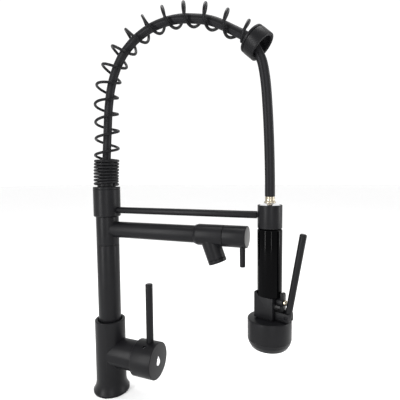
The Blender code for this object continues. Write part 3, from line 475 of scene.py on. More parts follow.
def finishes():
    """The materials of all pieces, by their record slot, in the colours that the panel holds."""
    tint = bpy.context.scene.faucet_finish
    return {
        "satin_black": grained("satin_black_paint", tint.satin, 0.32, 0.42, 0.10, specular=0.12),
        "gloss_black": grained(
            "gloss_black_paint", tint.gloss, 0.04, 0.08, 0.02, 420.0, 30.0, 0.15, specular=0.035
        ),
        "grey_face": brushed(
            "spun_grey_face", tint.face, 0.34, 0.46, 0.12, "X", (0, 0, SPOUT_Z), 1500.0, metallic=0.4
        ),
        "bright_chrome": grained(
            "bright_chrome", tint.chrome, 0.05, 0.13, 0.01, 1500.0, 40.0, 0.05, metallic=1.0
        ),
        "pale_brass": brushed("turned_brass", tint.brass, 0.2, 0.36, 0.12, scale=1100.0, metallic=1.0),
        "brushed_steel": brushed("turned_steel", tint.steel, 0.22, 0.38, 0.12, scale=1200.0, metallic=1.0),
        "black_rubber": grained(
            "black_rubber", tint.rubber, 0.72, 0.9, 0.3, 1500.0, 90.0, 0.35, specular=0.35
        ),
        "black_braid": braided(tint.braid),
        "white_plastic": grained("white_plastic", tint.white, 0.38, 0.5, 0.08, 1700.0, 50.0, 0.04),
        "grey_plastic": grained("grey_plastic", tint.grey, 0.42, 0.56, 0.12, 1900.0, 70.0, 0.12),
    }


# --- Sizes and colours a user may change ---
def colour(name, text, value):
    limits = {"subtype": "COLOR", "min": 0.0, "max": 1.0, "size": 3}
    return FloatVectorProperty(name=name, description=text, default=value, **limits)


def number(name, text, value, least, most, kind=FloatProperty, **unit):
    return kind(name=name, description=text, default=value, min=least, max=most, **unit)


length = partial(number, unit="LENGTH")
count = partial(number, kind=IntProperty)


class FaucetFinish(PropertyGroup):
    """Colours of the faucet's materials."""

    satin: colour("Satin black", "Paint on the body, arms and spray", (0.0050, 0.0050, 0.0058))
    gloss: colour("Gloss black", "Glossy paint on the spray's grip", (0.0010, 0.0010, 0.0012))
    face: colour("Grey face", "End face of the spout valve's knob", (0.085, 0.083, 0.080))
    chrome: colour("Bright chrome", "Badge, valve cover and docking nut", (0.36, 0.36, 0.37))
    brass: colour("Pale brass", "Ferrule and inner brass pieces", (0.34, 0.30, 0.23))
    steel: colour("Steel", "Screws and washer", (0.52, 0.53, 0.55))
    rubber: colour("Rubber", "Gaskets, seals and nozzle pad", (0.018, 0.018, 0.018))
    braid: colour("Braid", "Woven cover of the hose", (0.006, 0.006, 0.007))
    white: colour("White plastic", "Cartridge body", (0.74, 0.74, 0.72))
    grey: colour("Grey plastic", "Spray face and aerator", (0.20, 0.20, 0.21))


class FaucetSpring(PropertyGroup):
    """The spring arch and the hose inside it."""

    coil_radius: length("Coil radius", "From the spring's middle to its wire's", 0.01485, 0.008, 0.03)
    wire_radius: length("Wire radius", "Half the wire's thickness", 0.0018, 0.0005, 0.004)
    close_turns: number("Close turns", "Turns wound tight at the foot", 8.4, 1, 20)
    open_turns: number("Open turns", "Turns along the arch", 13.5, 4, 40)
    close_length: length("Close length", "Length of the tight turns", 0.0344, 0.01, 0.1)
    pitch_ease: number("Pitch ease", "How much tighter the open turns start than they end", 0.12, 0.0, 0.8)
    taper: number("Taper", "Share by which the coil narrows towards its upper end", 0.17, 0.0, 0.5)
    hose_radius: length("Hose radius", "Half the hose's thickness", 0.0055, 0.002, 0.01)


class FaucetSpray(PropertyGroup):
    """Details of the spray head and the aerator."""

    nozzle_rings: count("Nozzle rings", "Rings of soft nozzles", 3, 1, 4)
    nozzle_radius: length("Nozzle radius", "Half the width of one soft nozzle", 0.0008, 0.0003, 0.002)
    aerator_ribs: count("Aerator ribs", "Ribs across the aerator", 12, 4, 24)


class FaucetStage(PropertyGroup):
    """The studio round the faucet."""

    floor: colour("Floor", "Colour of the floor", (0.9, 0.9, 0.9))
    surround: number("Surround", "Brightness of the white room", 1.08, 0.0, 5.0)
    key: number("Key light", "Power of the strip lights", 14.0, 0.0, 100.0, unit="POWER")


# --- Rules for what repeats or follows a path ---
def rule(name, inputs):
    """A new geometry tree with named inputs, and the tool to fill it."""
    inputs = [("Geometry", "Geometry"), *inputs, ("Material", "Material")]
    return new_group(name, "GeometryNodeTree", inputs, [("Geometry", "Geometry")])


def end_rule(add, given, geometry):
    """Ends a tree in real geometry with the material set."""
    real = add("GeometryNodeRealizeInstances", {"Geometry": geometry}).outputs[0]
    painted = add("GeometryNodeSetMaterial", {"Geometry": real, "Material": given["Material"]})
    add("NodeGroupOutput", {"Geometry": painted.outputs[0]})


def run_rule(name, start, tree, values):
    """Runs a tree on a start mesh and keeps the result as a plain mesh."""
    obj = solid(name, start)
    modifier = obj.modifiers.new("rule", "NODES")
    modifier.node_group = tree
    for item in tree.interface.items_tree:
        if item.in_out == "INPUT" and item.name in values:
            modifier[item.identifier] = values[item.name]
    apply_modifiers(obj)
    if not obj.data.polygons:
        raise RuntimeError(f"the rule {tree.name} made nothing for {name}")
    return obj


def path_mesh(points):
    """A line of edges through points in millimetres."""
    mesh = bmesh.new()
    verts = [mesh.verts.new(Vector(p) * MM) for p in points]
    for a, b in zip(verts, verts[1:]):
        mesh.edges.new((a, b))
    return mesh


def drawn(add, curve, section):
    """Draws a section along a curve, with closed ends."""
    values = {"Curve": curve, "Profile Curve": section, "Fill Caps": True}
    return add("GeometryNodeCurveToMesh", values).outputs[0]


@once("node_groups", "coil_along_path")
def coil_rule(name):
    """Winds a wire round a line: tight turns first, then open ones, right-handed."""
    inputs = [
        ("Coil Radius", "Float", 0.01485), ("Wire Radius", "Float", 0.0018), ("Close Turns", "Float", 8.4),
        ("Close Length", "Float", 0.0344), ("Open Turns", "Float", 13.5), ("Pitch Ease", "Float", 0.0),
        ("Taper", "Float", 0.0), ("Steps", "Int", 900), ("Sides", "Int", 14),
    ]
    tree, add, given = rule(name, inputs)
    step = partial(maths, add)

    def vectors(kind, inputs):
        return add("ShaderNodeVectorMath", inputs, operation=kind).outputs[0]

    close = given["Close Length"]
    line = add("GeometryNodeMeshToCurve", {"Mesh": given["Geometry"]}).outputs[0]
    length = add("GeometryNodeCurveLength", {"Curve": line}).outputs[0]
    fine = add("GeometryNodeResampleCurve", {"Curve": line, "Count": given["Steps"]}).outputs[0]
    along = add("GeometryNodeSplineParameter").outputs["Length"]
    tight = step("MULTIPLY", step("DIVIDE", step("MINIMUM", along, close), close), given["Close Turns"])
    past = step("MAXIMUM", step("SUBTRACT", along, close), 0.0)
    share = step("DIVIDE", past, step("SUBTRACT", length, close))
    early = step("MULTIPLY", given["Pitch Ease"], step("SUBTRACT", 1.0, share))
    eased = step("MULTIPLY", share, step("ADD", early, 1.0))
    angle = step("MULTIPLY", step("ADD", tight, step("MULTIPLY", eased, given["Open Turns"])), 2 * math.pi)
    narrow = step("SUBTRACT", 1.0, step("MULTIPLY", share, given["Taper"]))
    tangent = add("GeometryNodeInputTangent").outputs[0]
    outward = vectors("CROSS_PRODUCT", {0: (0, 1, 0), 1: tangent})
    forward = vectors("SCALE", {"Vector": outward, "Scale": step("COSINE", angle)})
    sideways = add("ShaderNodeCombineXYZ", {"Y": step("SINE", angle)}).outputs[0]
    both = vectors("ADD", {0: forward, 1: sideways})
    offset = vectors("SCALE", {"Vector": both, "Scale": step("MULTIPLY", narrow, given["Coil Radius"])})
    wound = add("GeometryNodeSetPosition", {"Geometry": fine, "Offset": offset}).outputs[0]
    section = {"Resolution": given["Sides"], "Radius": given["Wire Radius"]}
    section = add("GeometryNodeCurvePrimitiveCircle", section).outputs[0]
    end_rule(add, given, drawn(add, wound, section))
    return tree


@once("node_groups", "hose_along_path")
def hose_rule(name):
    """Draws a round hose along a line and stores where each point lies round and along it."""
    inputs = [("Radius", "Float", 0.0055), ("Spacing", "Float", 0.002), ("Sides", "Int", 48)]
    tree, add, given = rule(name, inputs)

    def captured(curve, reading):
        """A curve that holds how far along it each of its points lies, and that distance."""
        held = add("GeometryNodeCaptureAttribute", domain="POINT")
        held.capture_items.new("FLOAT", reading)
        tree.links.new(curve, held.inputs["Geometry"])
        tree.links.new(add("GeometryNodeSplineParameter").outputs[reading], held.inputs[1])
        return held.outputs["Geometry"], held.outputs[1]

    line = add("GeometryNodeMeshToCurve", {"Mesh": given["Geometry"]}).outputs[0]
    fine = add("GeometryNodeResampleCurve", {"Curve": line, "Length": given["Spacing"]}, mode="LENGTH")
    section = {"Resolution": given["Sides"], "Radius": given["Radius"]}
    section = add("GeometryNodeCurvePrimitiveCircle", section).outputs[0]
    route, along = captured(fine.outputs[0], "Length")
    ring, around = captured(section, "Factor")
    pair = add("ShaderNodeCombineXYZ", {"X": around, "Y": along}).outputs[0]
    stored = {"Name": "hose_map", "Geometry": drawn(add, route, ring), "Value": pair}
    stored = add("GeometryNodeStoreNamedAttribute", stored, data_type="FLOAT2", domain="CORNER")
    end_rule(add, given, stored.outputs[0])
    return tree


@once("node_groups", "copies_on_points")
def copies_rule(name):
    """Sets a small shape on every point of the start mesh, turned as the point says."""
    tree, add, given = rule(name, [("Piece", "Object")])
    piece = add("GeometryNodeObjectInfo", {"As Instance": True, "Object": given["Piece"]}).outputs["Geometry"]
    turned = add("GeometryNodeInputNamedAttribute", {"Name": "turn"}, data_type="FLOAT_VECTOR")
    placed = {"Points": given["Geometry"], "Instance": piece, "Rotation": turned.outputs["Attribute"]}
    end_rule(add, given, add("GeometryNodeInstanceOnPoints", placed).outputs[0])
    return tree


def copies(name, piece_mesh, places, slot):
    """Copies of a small mesh at (x, y, z, turn about Z), in millimetres and radians, as one plain mesh."""
    pattern = solid("copied_shape", piece_mesh)
    points = bmesh.new()
    layer = points.verts.layers.float_vector.new("turn")
    for x, y, z, turn in places:
        vert = points.verts.new(Vector((x, y, z)) * MM)
        vert[layer] = (0.0, 0.0, turn)
    made = run_rule(name, points, copies_rule(), {"Piece": pattern, "Material": finishes()[slot]})
    bpy.data.objects.remove(pattern)
    return made


def add_mesh(obj, other):
    """Adds another piece's faces to a piece, without joining the surfaces."""
    mesh = bmesh.new()
    mesh.from_mesh(obj.data)
    mesh.from_mesh(other.data)
    mesh.to_mesh(obj.data)
    mesh.free()
    bpy.data.objects.remove(other)


# --- Lines that the spring and the hose follow ---
def ring_point(along, across=0.0):
    """A point (x, z) by its distance along the end ring's axis from its middle, and above that axis."""
    x = RING_MIDDLE[0] + along * math.cos(RING_DIP) + across * math.sin(RING_DIP)
    z = RING_MIDDLE[1] - along * math.sin(RING_DIP) + across * math.cos(RING_DIP)
    return (x, z)


SPAN_STEPS = 24  # points on a smooth curve between two given ones


def smooth_route(points, spacing):
    """Evenly spaced points along a smooth curve through the given ones (x and z; y is 0)."""
    ends = [points[0], *points, points[-1]]
    dense = []
    for a, b, c, d in zip(ends, ends[1:], ends[2:], ends[3:]):
        a, b, c, d = Vector(a), Vector(b), Vector(c), Vector(d)
        for i in range(SPAN_STEPS):
            t = i / SPAN_STEPS
            bend = (2 * a - 5 * b + 4 * c - d) * t**2 + (3 * b - a - 3 * c + d) * t**3
            dense.append(tuple(0.5 * (2 * b + (c - a) * t + bend)))
    dense.append(points[-1])
    lengths = [0.0]
    for a, b in zip(dense, dense[1:]):
        lengths.append(lengths[-1] + math.dist(a, b))
    count = max(2, round(lengths[-1] / spacing))
    even = []
    j = 0
    for i in range(count + 1):
        s = lengths[-1] * i / count
        while j < len(dense) - 2 and lengths[j + 1] < s:
            j += 1
        share = (s - lengths[j]) / max(lengths[j + 1] - lengths[j], 1e-9)
        x = dense[j][0] + (dense[j + 1][0] - dense[j][0]) * share
        z = dense[j][1] + (dense[j + 1][1] - dense[j][1]) * share
        even.append((x, 0.0, z))
    return even


def spring_line(wire_radius):
    up = COLLAR_TOP
    points = [
        (0, up + wire_radius + 2 * CLEAR), (0, up + 14), (2.2, up + 46), (3.6, up + 70), (3.2, up + 94),
        (3.6, up + 114), (8.0, up + 137), (18.5, up + 157.5), (34.5, up + 176.5), (55.3, up + 191),
        (78.9, up + 200), (103.8, up + 203), (126.7, up + 201), (150.6, up + 194), (174.0, up + 182),
        ring_point(-RING_LENGTH / 2 - 11.0), ring_point(-RING_LENGTH / 2 - wire_radius - CLEAR),
    ]
    return smooth_route(points, 1.0)


def upper_hose_line():
    up = COLLAR_TOP
    points = [
        (0, up - 2.0 + CLEAR), (0, up + 16), (2.0, up + 46.7), (4.5, up + 78.5), (6.6, up + 102),
        (11.3, up + 128), (18.9, up + 149), (29.3, up + 166), (40.2, up + 177), (52.8, up + 186),
        (70.4, up + 194), (88.3, up + 198), (107.3, up + 199), (127.1, up + 196.4), (153.7, up + 188.6),
        (183.0, up + 171.6), ring_point(-RING_LENGTH / 2 - 4.0, -2.2), ring_point(-2 * CLEAR, -4.6),
    ]
    return smooth_route(points, 3.0)


def lower_hose_line():
    end = FERRULE_TOP
    points = [
        ring_point(2 * CLEAR, -4.6), ring_point(RING_LENGTH / 2, -7.0), (REACH - 8.6, end + 145),
        (REACH - 5.1, end + 124), (REACH - 2.9, end + 96.5), (REACH - 1.2, end + 62), (REACH - 0.2, end + 26),
        (REACH, end + CLEAR),
    ]
    return smooth_route(points, 3.0)


# --- Body, base and column ---
def make_body():
    body_r, flange_r, flare_h, top = 20.3, 24.3, 17.0, high("mixer_body").z
    rim_r, shank_r, seat = COLUMN_R + 1.4, 16.1, 20.3
    flare = [
        (body_r + (flange_r - body_r) * (i / 24) ** 2.2, flare_h - (flare_h - 3.0) * i / 24)
        for i in range(25)
    ]
    corners = [
        (0, top - 20), (COLUMN_R + CLEAR, top - 20), (COLUMN_R + CLEAR, top - 10), (rim_r, top - 10),
        (rim_r, top, 1.2), (body_r, top, 1.2), *flare, (flange_r, 0, 1.2), (flange_r - 2.0, 0),
        (flange_r - 2.0, 1.5), (shank_r + 2.2, 1.5), (shank_r + 2.2, 0), (shank_r, 0, 0.4), (shank_r, seat),
        (0, seat),
    ]
    body = solid("faucet_body", lathe(rounded(corners, 7)))
    aside = place(z=STUB_Z, turn=ALONG_X)
    join(body, rod(19.4, 4.0, high("mixer_body").x, 0.5, FINE, aside))
    bore(body, 17.7, 8.3, 50.0, FINE, aside)
    finish(body, "mixer", "satin_black", "mixer_body", 24)


def make_base_gasket():
    bottom, top = span("base_gasket")
    piece("base_seal", tube(22.0, 18.6, bottom, top, 0.3), "mixer", "black_rubber", "base_gasket")


def make_column():
    bottom, top = span("column_tube")
    piece("riser_tube", tube(COLUMN_R, 13.2, bottom, top, 0.25), "mixer", "satin_black", "column_tube")


def make_deck_fixings():
    """The threaded shank, its nut and its washers, all under the worktop."""
    bottom, top = span("threaded_shank")
    shank = solid("deck_shank", tube(15.1, 11.5, bottom, top, 0.6, FINE))
    pitch = 1.5
    turns = (top - bottom - 4.0) / pitch
    values = {
        "Coil Radius": 15.1 * MM, "Wire Radius": 0.7 * MM, "Close Turns": turns,
        "Close Length": turns * pitch * MM, "Open Turns": 0.0, "Steps": int(turns * THREAD_STEPS), "Sides": 4,
        "Material": finishes()["pale_brass"],
    }
    length = turns * pitch + 0.01
    start = [(0, 0, bottom + 1.5 + length * i / THREAD_STEPS) for i in range(THREAD_STEPS + 1)]
    thread = run_rule("deck_shank_thread", path_mesh(start), coil_rule(), values)
    add_mesh(shank, thread)
    finish(shank, "mixer", "pale_brass", "threaded_shank")
    for node, slot, edge in (("rubber_washer", "black_rubber", 0.5), ("steel_washer", "brushed_steel", 0.25)):
        start, end = low(node), high(node)
        name = node.replace("_washer", "_deck_ring")
        piece(name, tube(end.x, 16.3, start.z, end.z, edge), "mixer", slot, node)
    start, end = low("fixing_nut"), high("fixing_nut")
    corner_r = max(end.x, end.y)
    across = corner_r * math.cos(math.pi / 6)
    hexagon = six_corners(corner_r, 0.0 if end.x > end.y else math.pi / 6)
    nut = solid("deck_nut", slab(hexagon, end.z - start.z, 0.0, place(z=start.z)))
    past, slope = corner_r + 0.01, 1.2
    chamfer = [
        (0, start.z), (across, start.z), (past, start.z + slope), (past, end.z - slope), (across, end.z),
        (0, end.z),
    ]
    shape(nut, "INTERSECT", lathe(chamfer))
    bore(nut, 16.4, start.z - 2, end.z + 2, FINE)
    finish(nut, "mixer", "pale_brass", "fixing_nut")


# --- Side valve and its handle ---
def make_valve_cover():
    """Polished cap that shows as a thin bright line between the stub and the handle's hub."""
    pivot, outer, wall, mouth = 36.0, 21.34, 1.5, 14.0
    start = 44.9 - pivot
    inner = outer - wall
    outline = [
        *arc(outer, math.acos(mouth / outer), math.asin(start / outer), 12, 0.0, pivot),
        *arc(inner, math.asin(start / inner), math.acos(mouth / inner), 12, 0.0, pivot),
    ]
    mesh = lathe(outline, FINE, place(z=STUB_Z, turn=ALONG_X))
    piece("valve_cover", mesh, "mixer", "bright_chrome", "cartridge_dome")


def make_side_handle():
    hub_r, start, end, lever_x, lever_r = 23.5, 45.2, 74.9, 63.0, 4.8
    pivot, cavity_r = 36.0, 22.24
    at = place(z=STUB_Z, turn=ALONG_X)
    first = math.asin((start - pivot) / cavity_r)
    last = math.acos(4.3 / cavity_r)
    cavity = arc(cavity_r, first, last, 24, 0.0, pivot)
    corners = [(0, end), (hub_r, end, 0.8), (hub_r, start, 0.8), *cavity, (4.3, 66.6), (0, 66.6)]
    hub = solid("handle_barrel", lathe(rounded(corners), FINE, at))
    foot = STUB_Z + 14.0
    bore(hub, lever_r + CLEAR, foot, foot + hub_r, SLIM, place(lever_x))
    screw_at = place(lever_x - 2.7, z=STUB_Z, turn=turned_by(27.0, "X"))
    bore(hub, 1.9, 2.0, hub_r + 4.0, TINY, screw_at)
    facing = turned_by(90.0, "Z") @ SIDEWAYS
    drop_r, drop_z = 4.2, STUB_Z - 2.0
    cut(hub, slab(drop_outline(drop_r, CLEAR), 2.0, 0.0, place(end - 1.2, z=drop_z, turn=facing)))
    finish(hub, "side_handle", "satin_black", "handle_hub", 26)
    top = high("handle_lever").z
    mesh = rod(lever_r, foot + CLEAR, top, 1.2, SLIM, place(lever_x), 0.2)
    piece("handle_bar", mesh, "side_handle", "satin_black", "handle_lever")
    screw = solid("handle_grub_screw", rod(1.6, 4.6, hub_r - 2.0, 0.3, TINY, screw_at))
    socket_at = screw_at @ Matrix.Translation((0, 0, (hub_r - 3.4) * MM))
    cut(screw, slab(six_corners(0.85), 3.0, 0.0, socket_at))
    finish(screw, "side_handle", "brushed_steel", "handle_set_screw")
    mesh = slab(drop_outline(drop_r), 0.4, 0.12, place(end - 0.3, z=drop_z, turn=facing))
    piece("drop_badge", mesh, "side_handle", "bright_chrome", "handle_badge")


def drop_outline(radius, grow=0.0):
    """A water drop: a circle whose upper side runs out to a point."""
    tip = 2.1 * radius
    touch = math.degrees(math.acos(radius / tip))
    round_side = arc(radius + grow, math.radians(90 + touch), math.radians(450 - touch), 36)
    return [*round_side, (0, tip + grow * tip / radius)]


# --- Pot-filler spout and its valve ---
def make_spout():
    bottom, top = span("spout_arm")
    at = place(z=SPOUT_Z, turn=ALONG_X)
    spout = solid("pot_filler_arm", rod(COLUMN_R, bottom, top, 0.35, FINE))
    join(spout, rod(10.6, 0.0, 132.5, 0.3, FINE, at))
    bore(spout, 8.6, 0.0, 140.0, SLIM, at)
    bore(spout, 11.8, bottom - 2.0, top + 2.0, SLIM)
    finish(spout, "spout", "satin_black", "spout_arm", 24)


def nozzle_place():
    """The outlet's axis: from the valve's axis, down and outward."""
    return place(*NOZZLE_FROM, Matrix.Rotation(math.pi - NOZZLE_TILT, 4, "Y"))


def make_spout_valve():
    ribs = bpy.context.scene.faucet_spray.aerator_ribs
    r, start, end, drop = 12.75, 130.5, 166.6, 29.8
    at = place(z=SPOUT_Z, turn=ALONG_X)
    corners = [(0, end), (r, end, 0.5), (r, start + 3.7, 0.8), (11.6, start, 0.4), (0, start)]
    body = solid("valve_barrel", lathe(rounded(corners), FINE, at))
    down = nozzle_place()
    join(body, rod(11.05, 0.0, drop, 0.35, FINE, down, 0.0))
    bore(body, 10.9, start - 2.0, start + 2.3, SLIM, at)
    bore(body, 9.5, start + 19.5, end + 4.0, SLIM, at)
    bore(body, 8.2, 8.0, drop + 4.0, SLIM, down)
    finish(body, "spout", "satin_black", "spout_valve_body", 24)
    seam = drop + CLEAR
    mesh = tube(11.05, 8.9, seam, seam + 4.4, 0.5, FINE, down)
    piece("aerator_ring", mesh, "spout", "satin_black", "aerator_housing")
    insert = solid("aerator_grid", tube(8.6, 7.2, seam + 0.6, seam + 3.9, 0.3, SLIM, down))
    add_mesh(insert, solid("aerator_backing", rod(7.3, seam + 0.6, seam + 2.2, 0.1, SLIM, down)))
    for ring_r in (2.0, 4.4):
        rib = tube(ring_r + 0.35, ring_r - 0.35, seam + 2.0, seam + 3.6, 0.1, SLIM, down)
        add_mesh(insert, solid("aerator_ring_rib", rib))
    blade = block((1.6, -0.3, seam + 2.0), (7.4, 0.3, seam + 3.5), 0.08)
    places = [(0, 0, 0, 2 * math.pi * k / ribs) for k in range(ribs)]
    spokes = copies("aerator_spokes", blade, places, "grey_plastic")
    spokes.data.transform(down)
    add_mesh(insert, spokes)
    finish(insert, "spout", "grey_plastic", "aerator_insert")


def make_valve_knob():
    r, start, end, cap_r = 12.75, 166.9, 193.9, 11.55
    at = place(z=SPOUT_Z, turn=ALONG_X)
    corners = [
        (0, end - 1.5), (cap_r + CLEAR, end - 1.5), (cap_r + CLEAR, end, 0.15), (r, end, 0.5),
        (r, start, 0.5), (3.6, start), (3.6, 180.2), (0, 180.2),
    ]
    knob = solid("valve_grip", lathe(rounded(corners), FINE, at))
    lever_x, lever_r, foot = 188.3, 3.2, SPOUT_Z - 6.0
    down = place(lever_x, z=foot, turn=turned_by(180.0, "X"))
    bore(knob, lever_r + CLEAR, 0.0, r, SLIM, down)
    finish(knob, "spout_knob", "satin_black", "valve_knob", 26)
    mesh = rod(cap_r, end - 1.2, end, 0.25, FINE, at)
    piece("valve_grip_face", mesh, "spout_knob", "grey_face", "valve_knob_cap")
    length = foot - low("valve_lever").z
    mesh = rod(lever_r, CLEAR, length, 0.8, SLIM, down, 0.2)
    piece("valve_finger_bar", mesh, "spout_knob", "satin_black", "valve_lever")


# --- Collar, docking arm and holder ---
def make_docking_arm():
    bottom, top, r, inner = low("top_collar").z, COLLAR_TOP, 17.8, 11.8
    groove = top - 3.5
    corners = [
        (inner, top, 0.3), (r, top, 0.5), (r, groove + 0.4, 0.1), (r - 0.45, groove), (r, groove - 0.4, 0.1),
        (r, bottom + 1.2, 0.4), (r - 1.0, bottom, 0.3), (inner, bottom, 0.2),
    ]
    collar = solid("swivel_collar", lathe(rounded(corners)))
    arm_z, arm_r, end = bottom + 8.6, 4.2, high("docking_rod").x
    arm_at = place(z=arm_z, turn=ALONG_X)
    bore(collar, arm_r + CLEAR, 13.6, 30.0, SLIM, arm_at)
    screw_at = place(z=(bottom + top) / 2, turn=turned_by(-90.0, "X"))
    bore(collar, 2.3, 10.0, 30.0, TINY, screw_at)
    finish(collar, "docking_arm", "satin_black", "top_collar", 26)
    inner_end, outer_end = low("collar_screw").y, high("collar_screw").y
    screw = solid("collar_grub_screw", rod(2.0, inner_end, outer_end, 0.3, TINY, screw_at))
    socket_at = screw_at @ Matrix.Translation((0, 0, (outer_end - 1.6) * MM))
    cut(screw, slab(six_corners(1.1), 3.0, 0.0, socket_at))
    finish(screw, "docking_arm", "brushed_steel", "collar_screw")
    neck = low("holder_cup").x - 1.0
    neck_r, first = arm_r - 1.1, 13.9
    corners = [
        (0, end), (neck_r, end, 0.2), (neck_r, neck), (arm_r, neck, 0.4), (arm_r, first, 0.2), (0, first)
    ]
    piece("docking_bar", lathe(rounded(corners), SLIM, arm_at), "docking_arm", "satin_black", "docking_rod")
    start, rise = span("holder_cup")
    cup_r = high("holder_cup").x - REACH
    cup = solid("docking_cup", tube(cup_r, cup_r - 1.2, start, rise, 0.45, FINE, place(REACH)))
    bore(cup, 3.4, REACH - cup_r - 3.0, REACH - 8.0, SLIM, arm_at)
    finish(cup, "docking_arm", "satin_black", "holder_cup", 26)


def make_spring():
    sizes = bpy.context.scene.faucet_spring
    wire = sizes.wire_radius
    start, end = span("spring_seat")
    corners = [(12.1, start, 0.3), (12.1, end, 0.8), (6.2, end, 0.4), (6.2, start, 0.3)]
    piece("spring_post", lathe(rounded(corners), SLIM), "docking_arm", "satin_black", "spring_seat")
    turns = sizes.close_turns + sizes.open_turns
    values = {
        "Coil Radius": sizes.coil_radius, "Wire Radius": wire, "Close Turns": sizes.close_turns,
        "Close Length": sizes.close_length, "Open Turns": sizes.open_turns, "Pitch Ease": sizes.pitch_ease,
        "Taper": sizes.taper, "Steps": int(turns * COIL_STEPS), "Sides": 16,
        "Material": finishes()["satin_black"],
    }
    arch = run_rule("spring_arch", path_mesh(spring_line(wire / MM)), coil_rule(), values)
    finish(arch, "docking_arm", "satin_black", "arch_spring", 60)
    arch.parent = None
    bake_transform(arch)


def make_hoses():
    sizes = bpy.context.scene.faucet_spring
    braid = finishes()["black_braid"]
    values = {"Radius": sizes.hose_radius, "Spacing": 0.002, "Sides": 48, "Material": braid}
    lines = (
        ("hose_in_arch", upper_hose_line(), "docking_arm", "hose_upper"),
        ("hose_to_spray", lower_hose_line(), "hose_drop", "hose_lower"),
    )
    for name, line, body, node in lines:
        hose = run_rule(name, path_mesh(line), hose_rule(), values)
        finish(hose, body, "black_braid", node, 50)
        if node == "hose_upper":
            hose.parent = None
            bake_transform(hose)


def make_end_ring():
    r, wall, half = 16.8, 2.4, RING_LENGTH / 2
    groove, inside = -half + 3.6, r - wall
    corners = [
        (inside, half, 0.5), (r, half, 0.9), (r, groove + 0.6, 0.3), (r - 1.1, groove + 0.3, 0.2),
        (r - 1.1, groove - 0.6, 0.2), (r - 0.2, groove - 0.9, 0.3), (r - 0.2, -half, 0.8),
        (inside, -half, 0.5),
    ]
    at = place(RING_MIDDLE[0], 0.0, RING_MIDDLE[1], Matrix.Rotation(math.pi / 2 + RING_DIP, 4, "Y"))
    piece("spring_end_cap", lathe(rounded(corners), FINE, at), "hose_drop", "satin_black", "spring_end_ring")
    mesh = tube(inside - CLEAR, inside - 1.2, 1.0 - half, half - 0.6, 0.3, FINE, at)
    piece("end_cap_lining", mesh, "hose_drop", "satin_black", "ring_liner")


def make_hose_end():
    foot, top, at = low("hose_ferrule").z, FERRULE_TOP, place(REACH)
    corners = [
        (3.2, top, 0.2), (5.3, top, 0.5), (5.3, foot + 5.6, 0.15), (5.0, foot + 5.2, 0.15),
        (5.3, foot + 4.8, 0.15), (5.3, foot + 2.0, 0.4), (6.6, foot + 1.2, 0.3), (6.6, foot, 0.3),
        (3.2, foot, 0.2),
    ]
    piece("hose_crimp", lathe(rounded(corners, 4), SLIM, at), "hose_drop", "pale_brass", "hose_ferrule")
    start, end, r = low("docking_nut").z, high("docking_nut").z, high("docking_nut").x - REACH
    cup_top = high("holder_cup").z
    corners = [
        (4.0, end, 0.2), (7.0, end, 0.3), (r, cup_top - 0.6, 0.4), (r, start, 0.4), (7.3, start, 0.2),
        (7.3, start + 9.0), (4.0, start + 9.0),
    ]
    piece("docking_cone", lathe(rounded(corners, 4), FINE, at), "spray", "bright_chrome", "docking_nut")


# --- Spray ---
def make_spray_grip():
    top, foot, r = high("handle_sleeve").z, low("handle_sleeve").z, 13.7
    corners = [
        (7.4, top, 0.2), (r, top, 2.6), (r, foot, 0.5), (11.9, foot, 0.3), (11.9, top - 4.0),
        (7.4, top - 4.0),
    ]
    mesh = lathe(rounded(corners, 8), FINE, place(REACH))
    piece("spray_grip", mesh, "spray", "gloss_black", "handle_sleeve", 40)


def at_spray(x=0.0, z=0.0, turn=UPRIGHT):
    """A place on the spray, in whose own direction X points to the trigger."""
    out = Matrix.Translation((x * MM, 0, 0))
    return place(REACH, z=z, turn=Matrix.Rotation(SPRAY_TURN, 4, "Z") @ out @ turn)


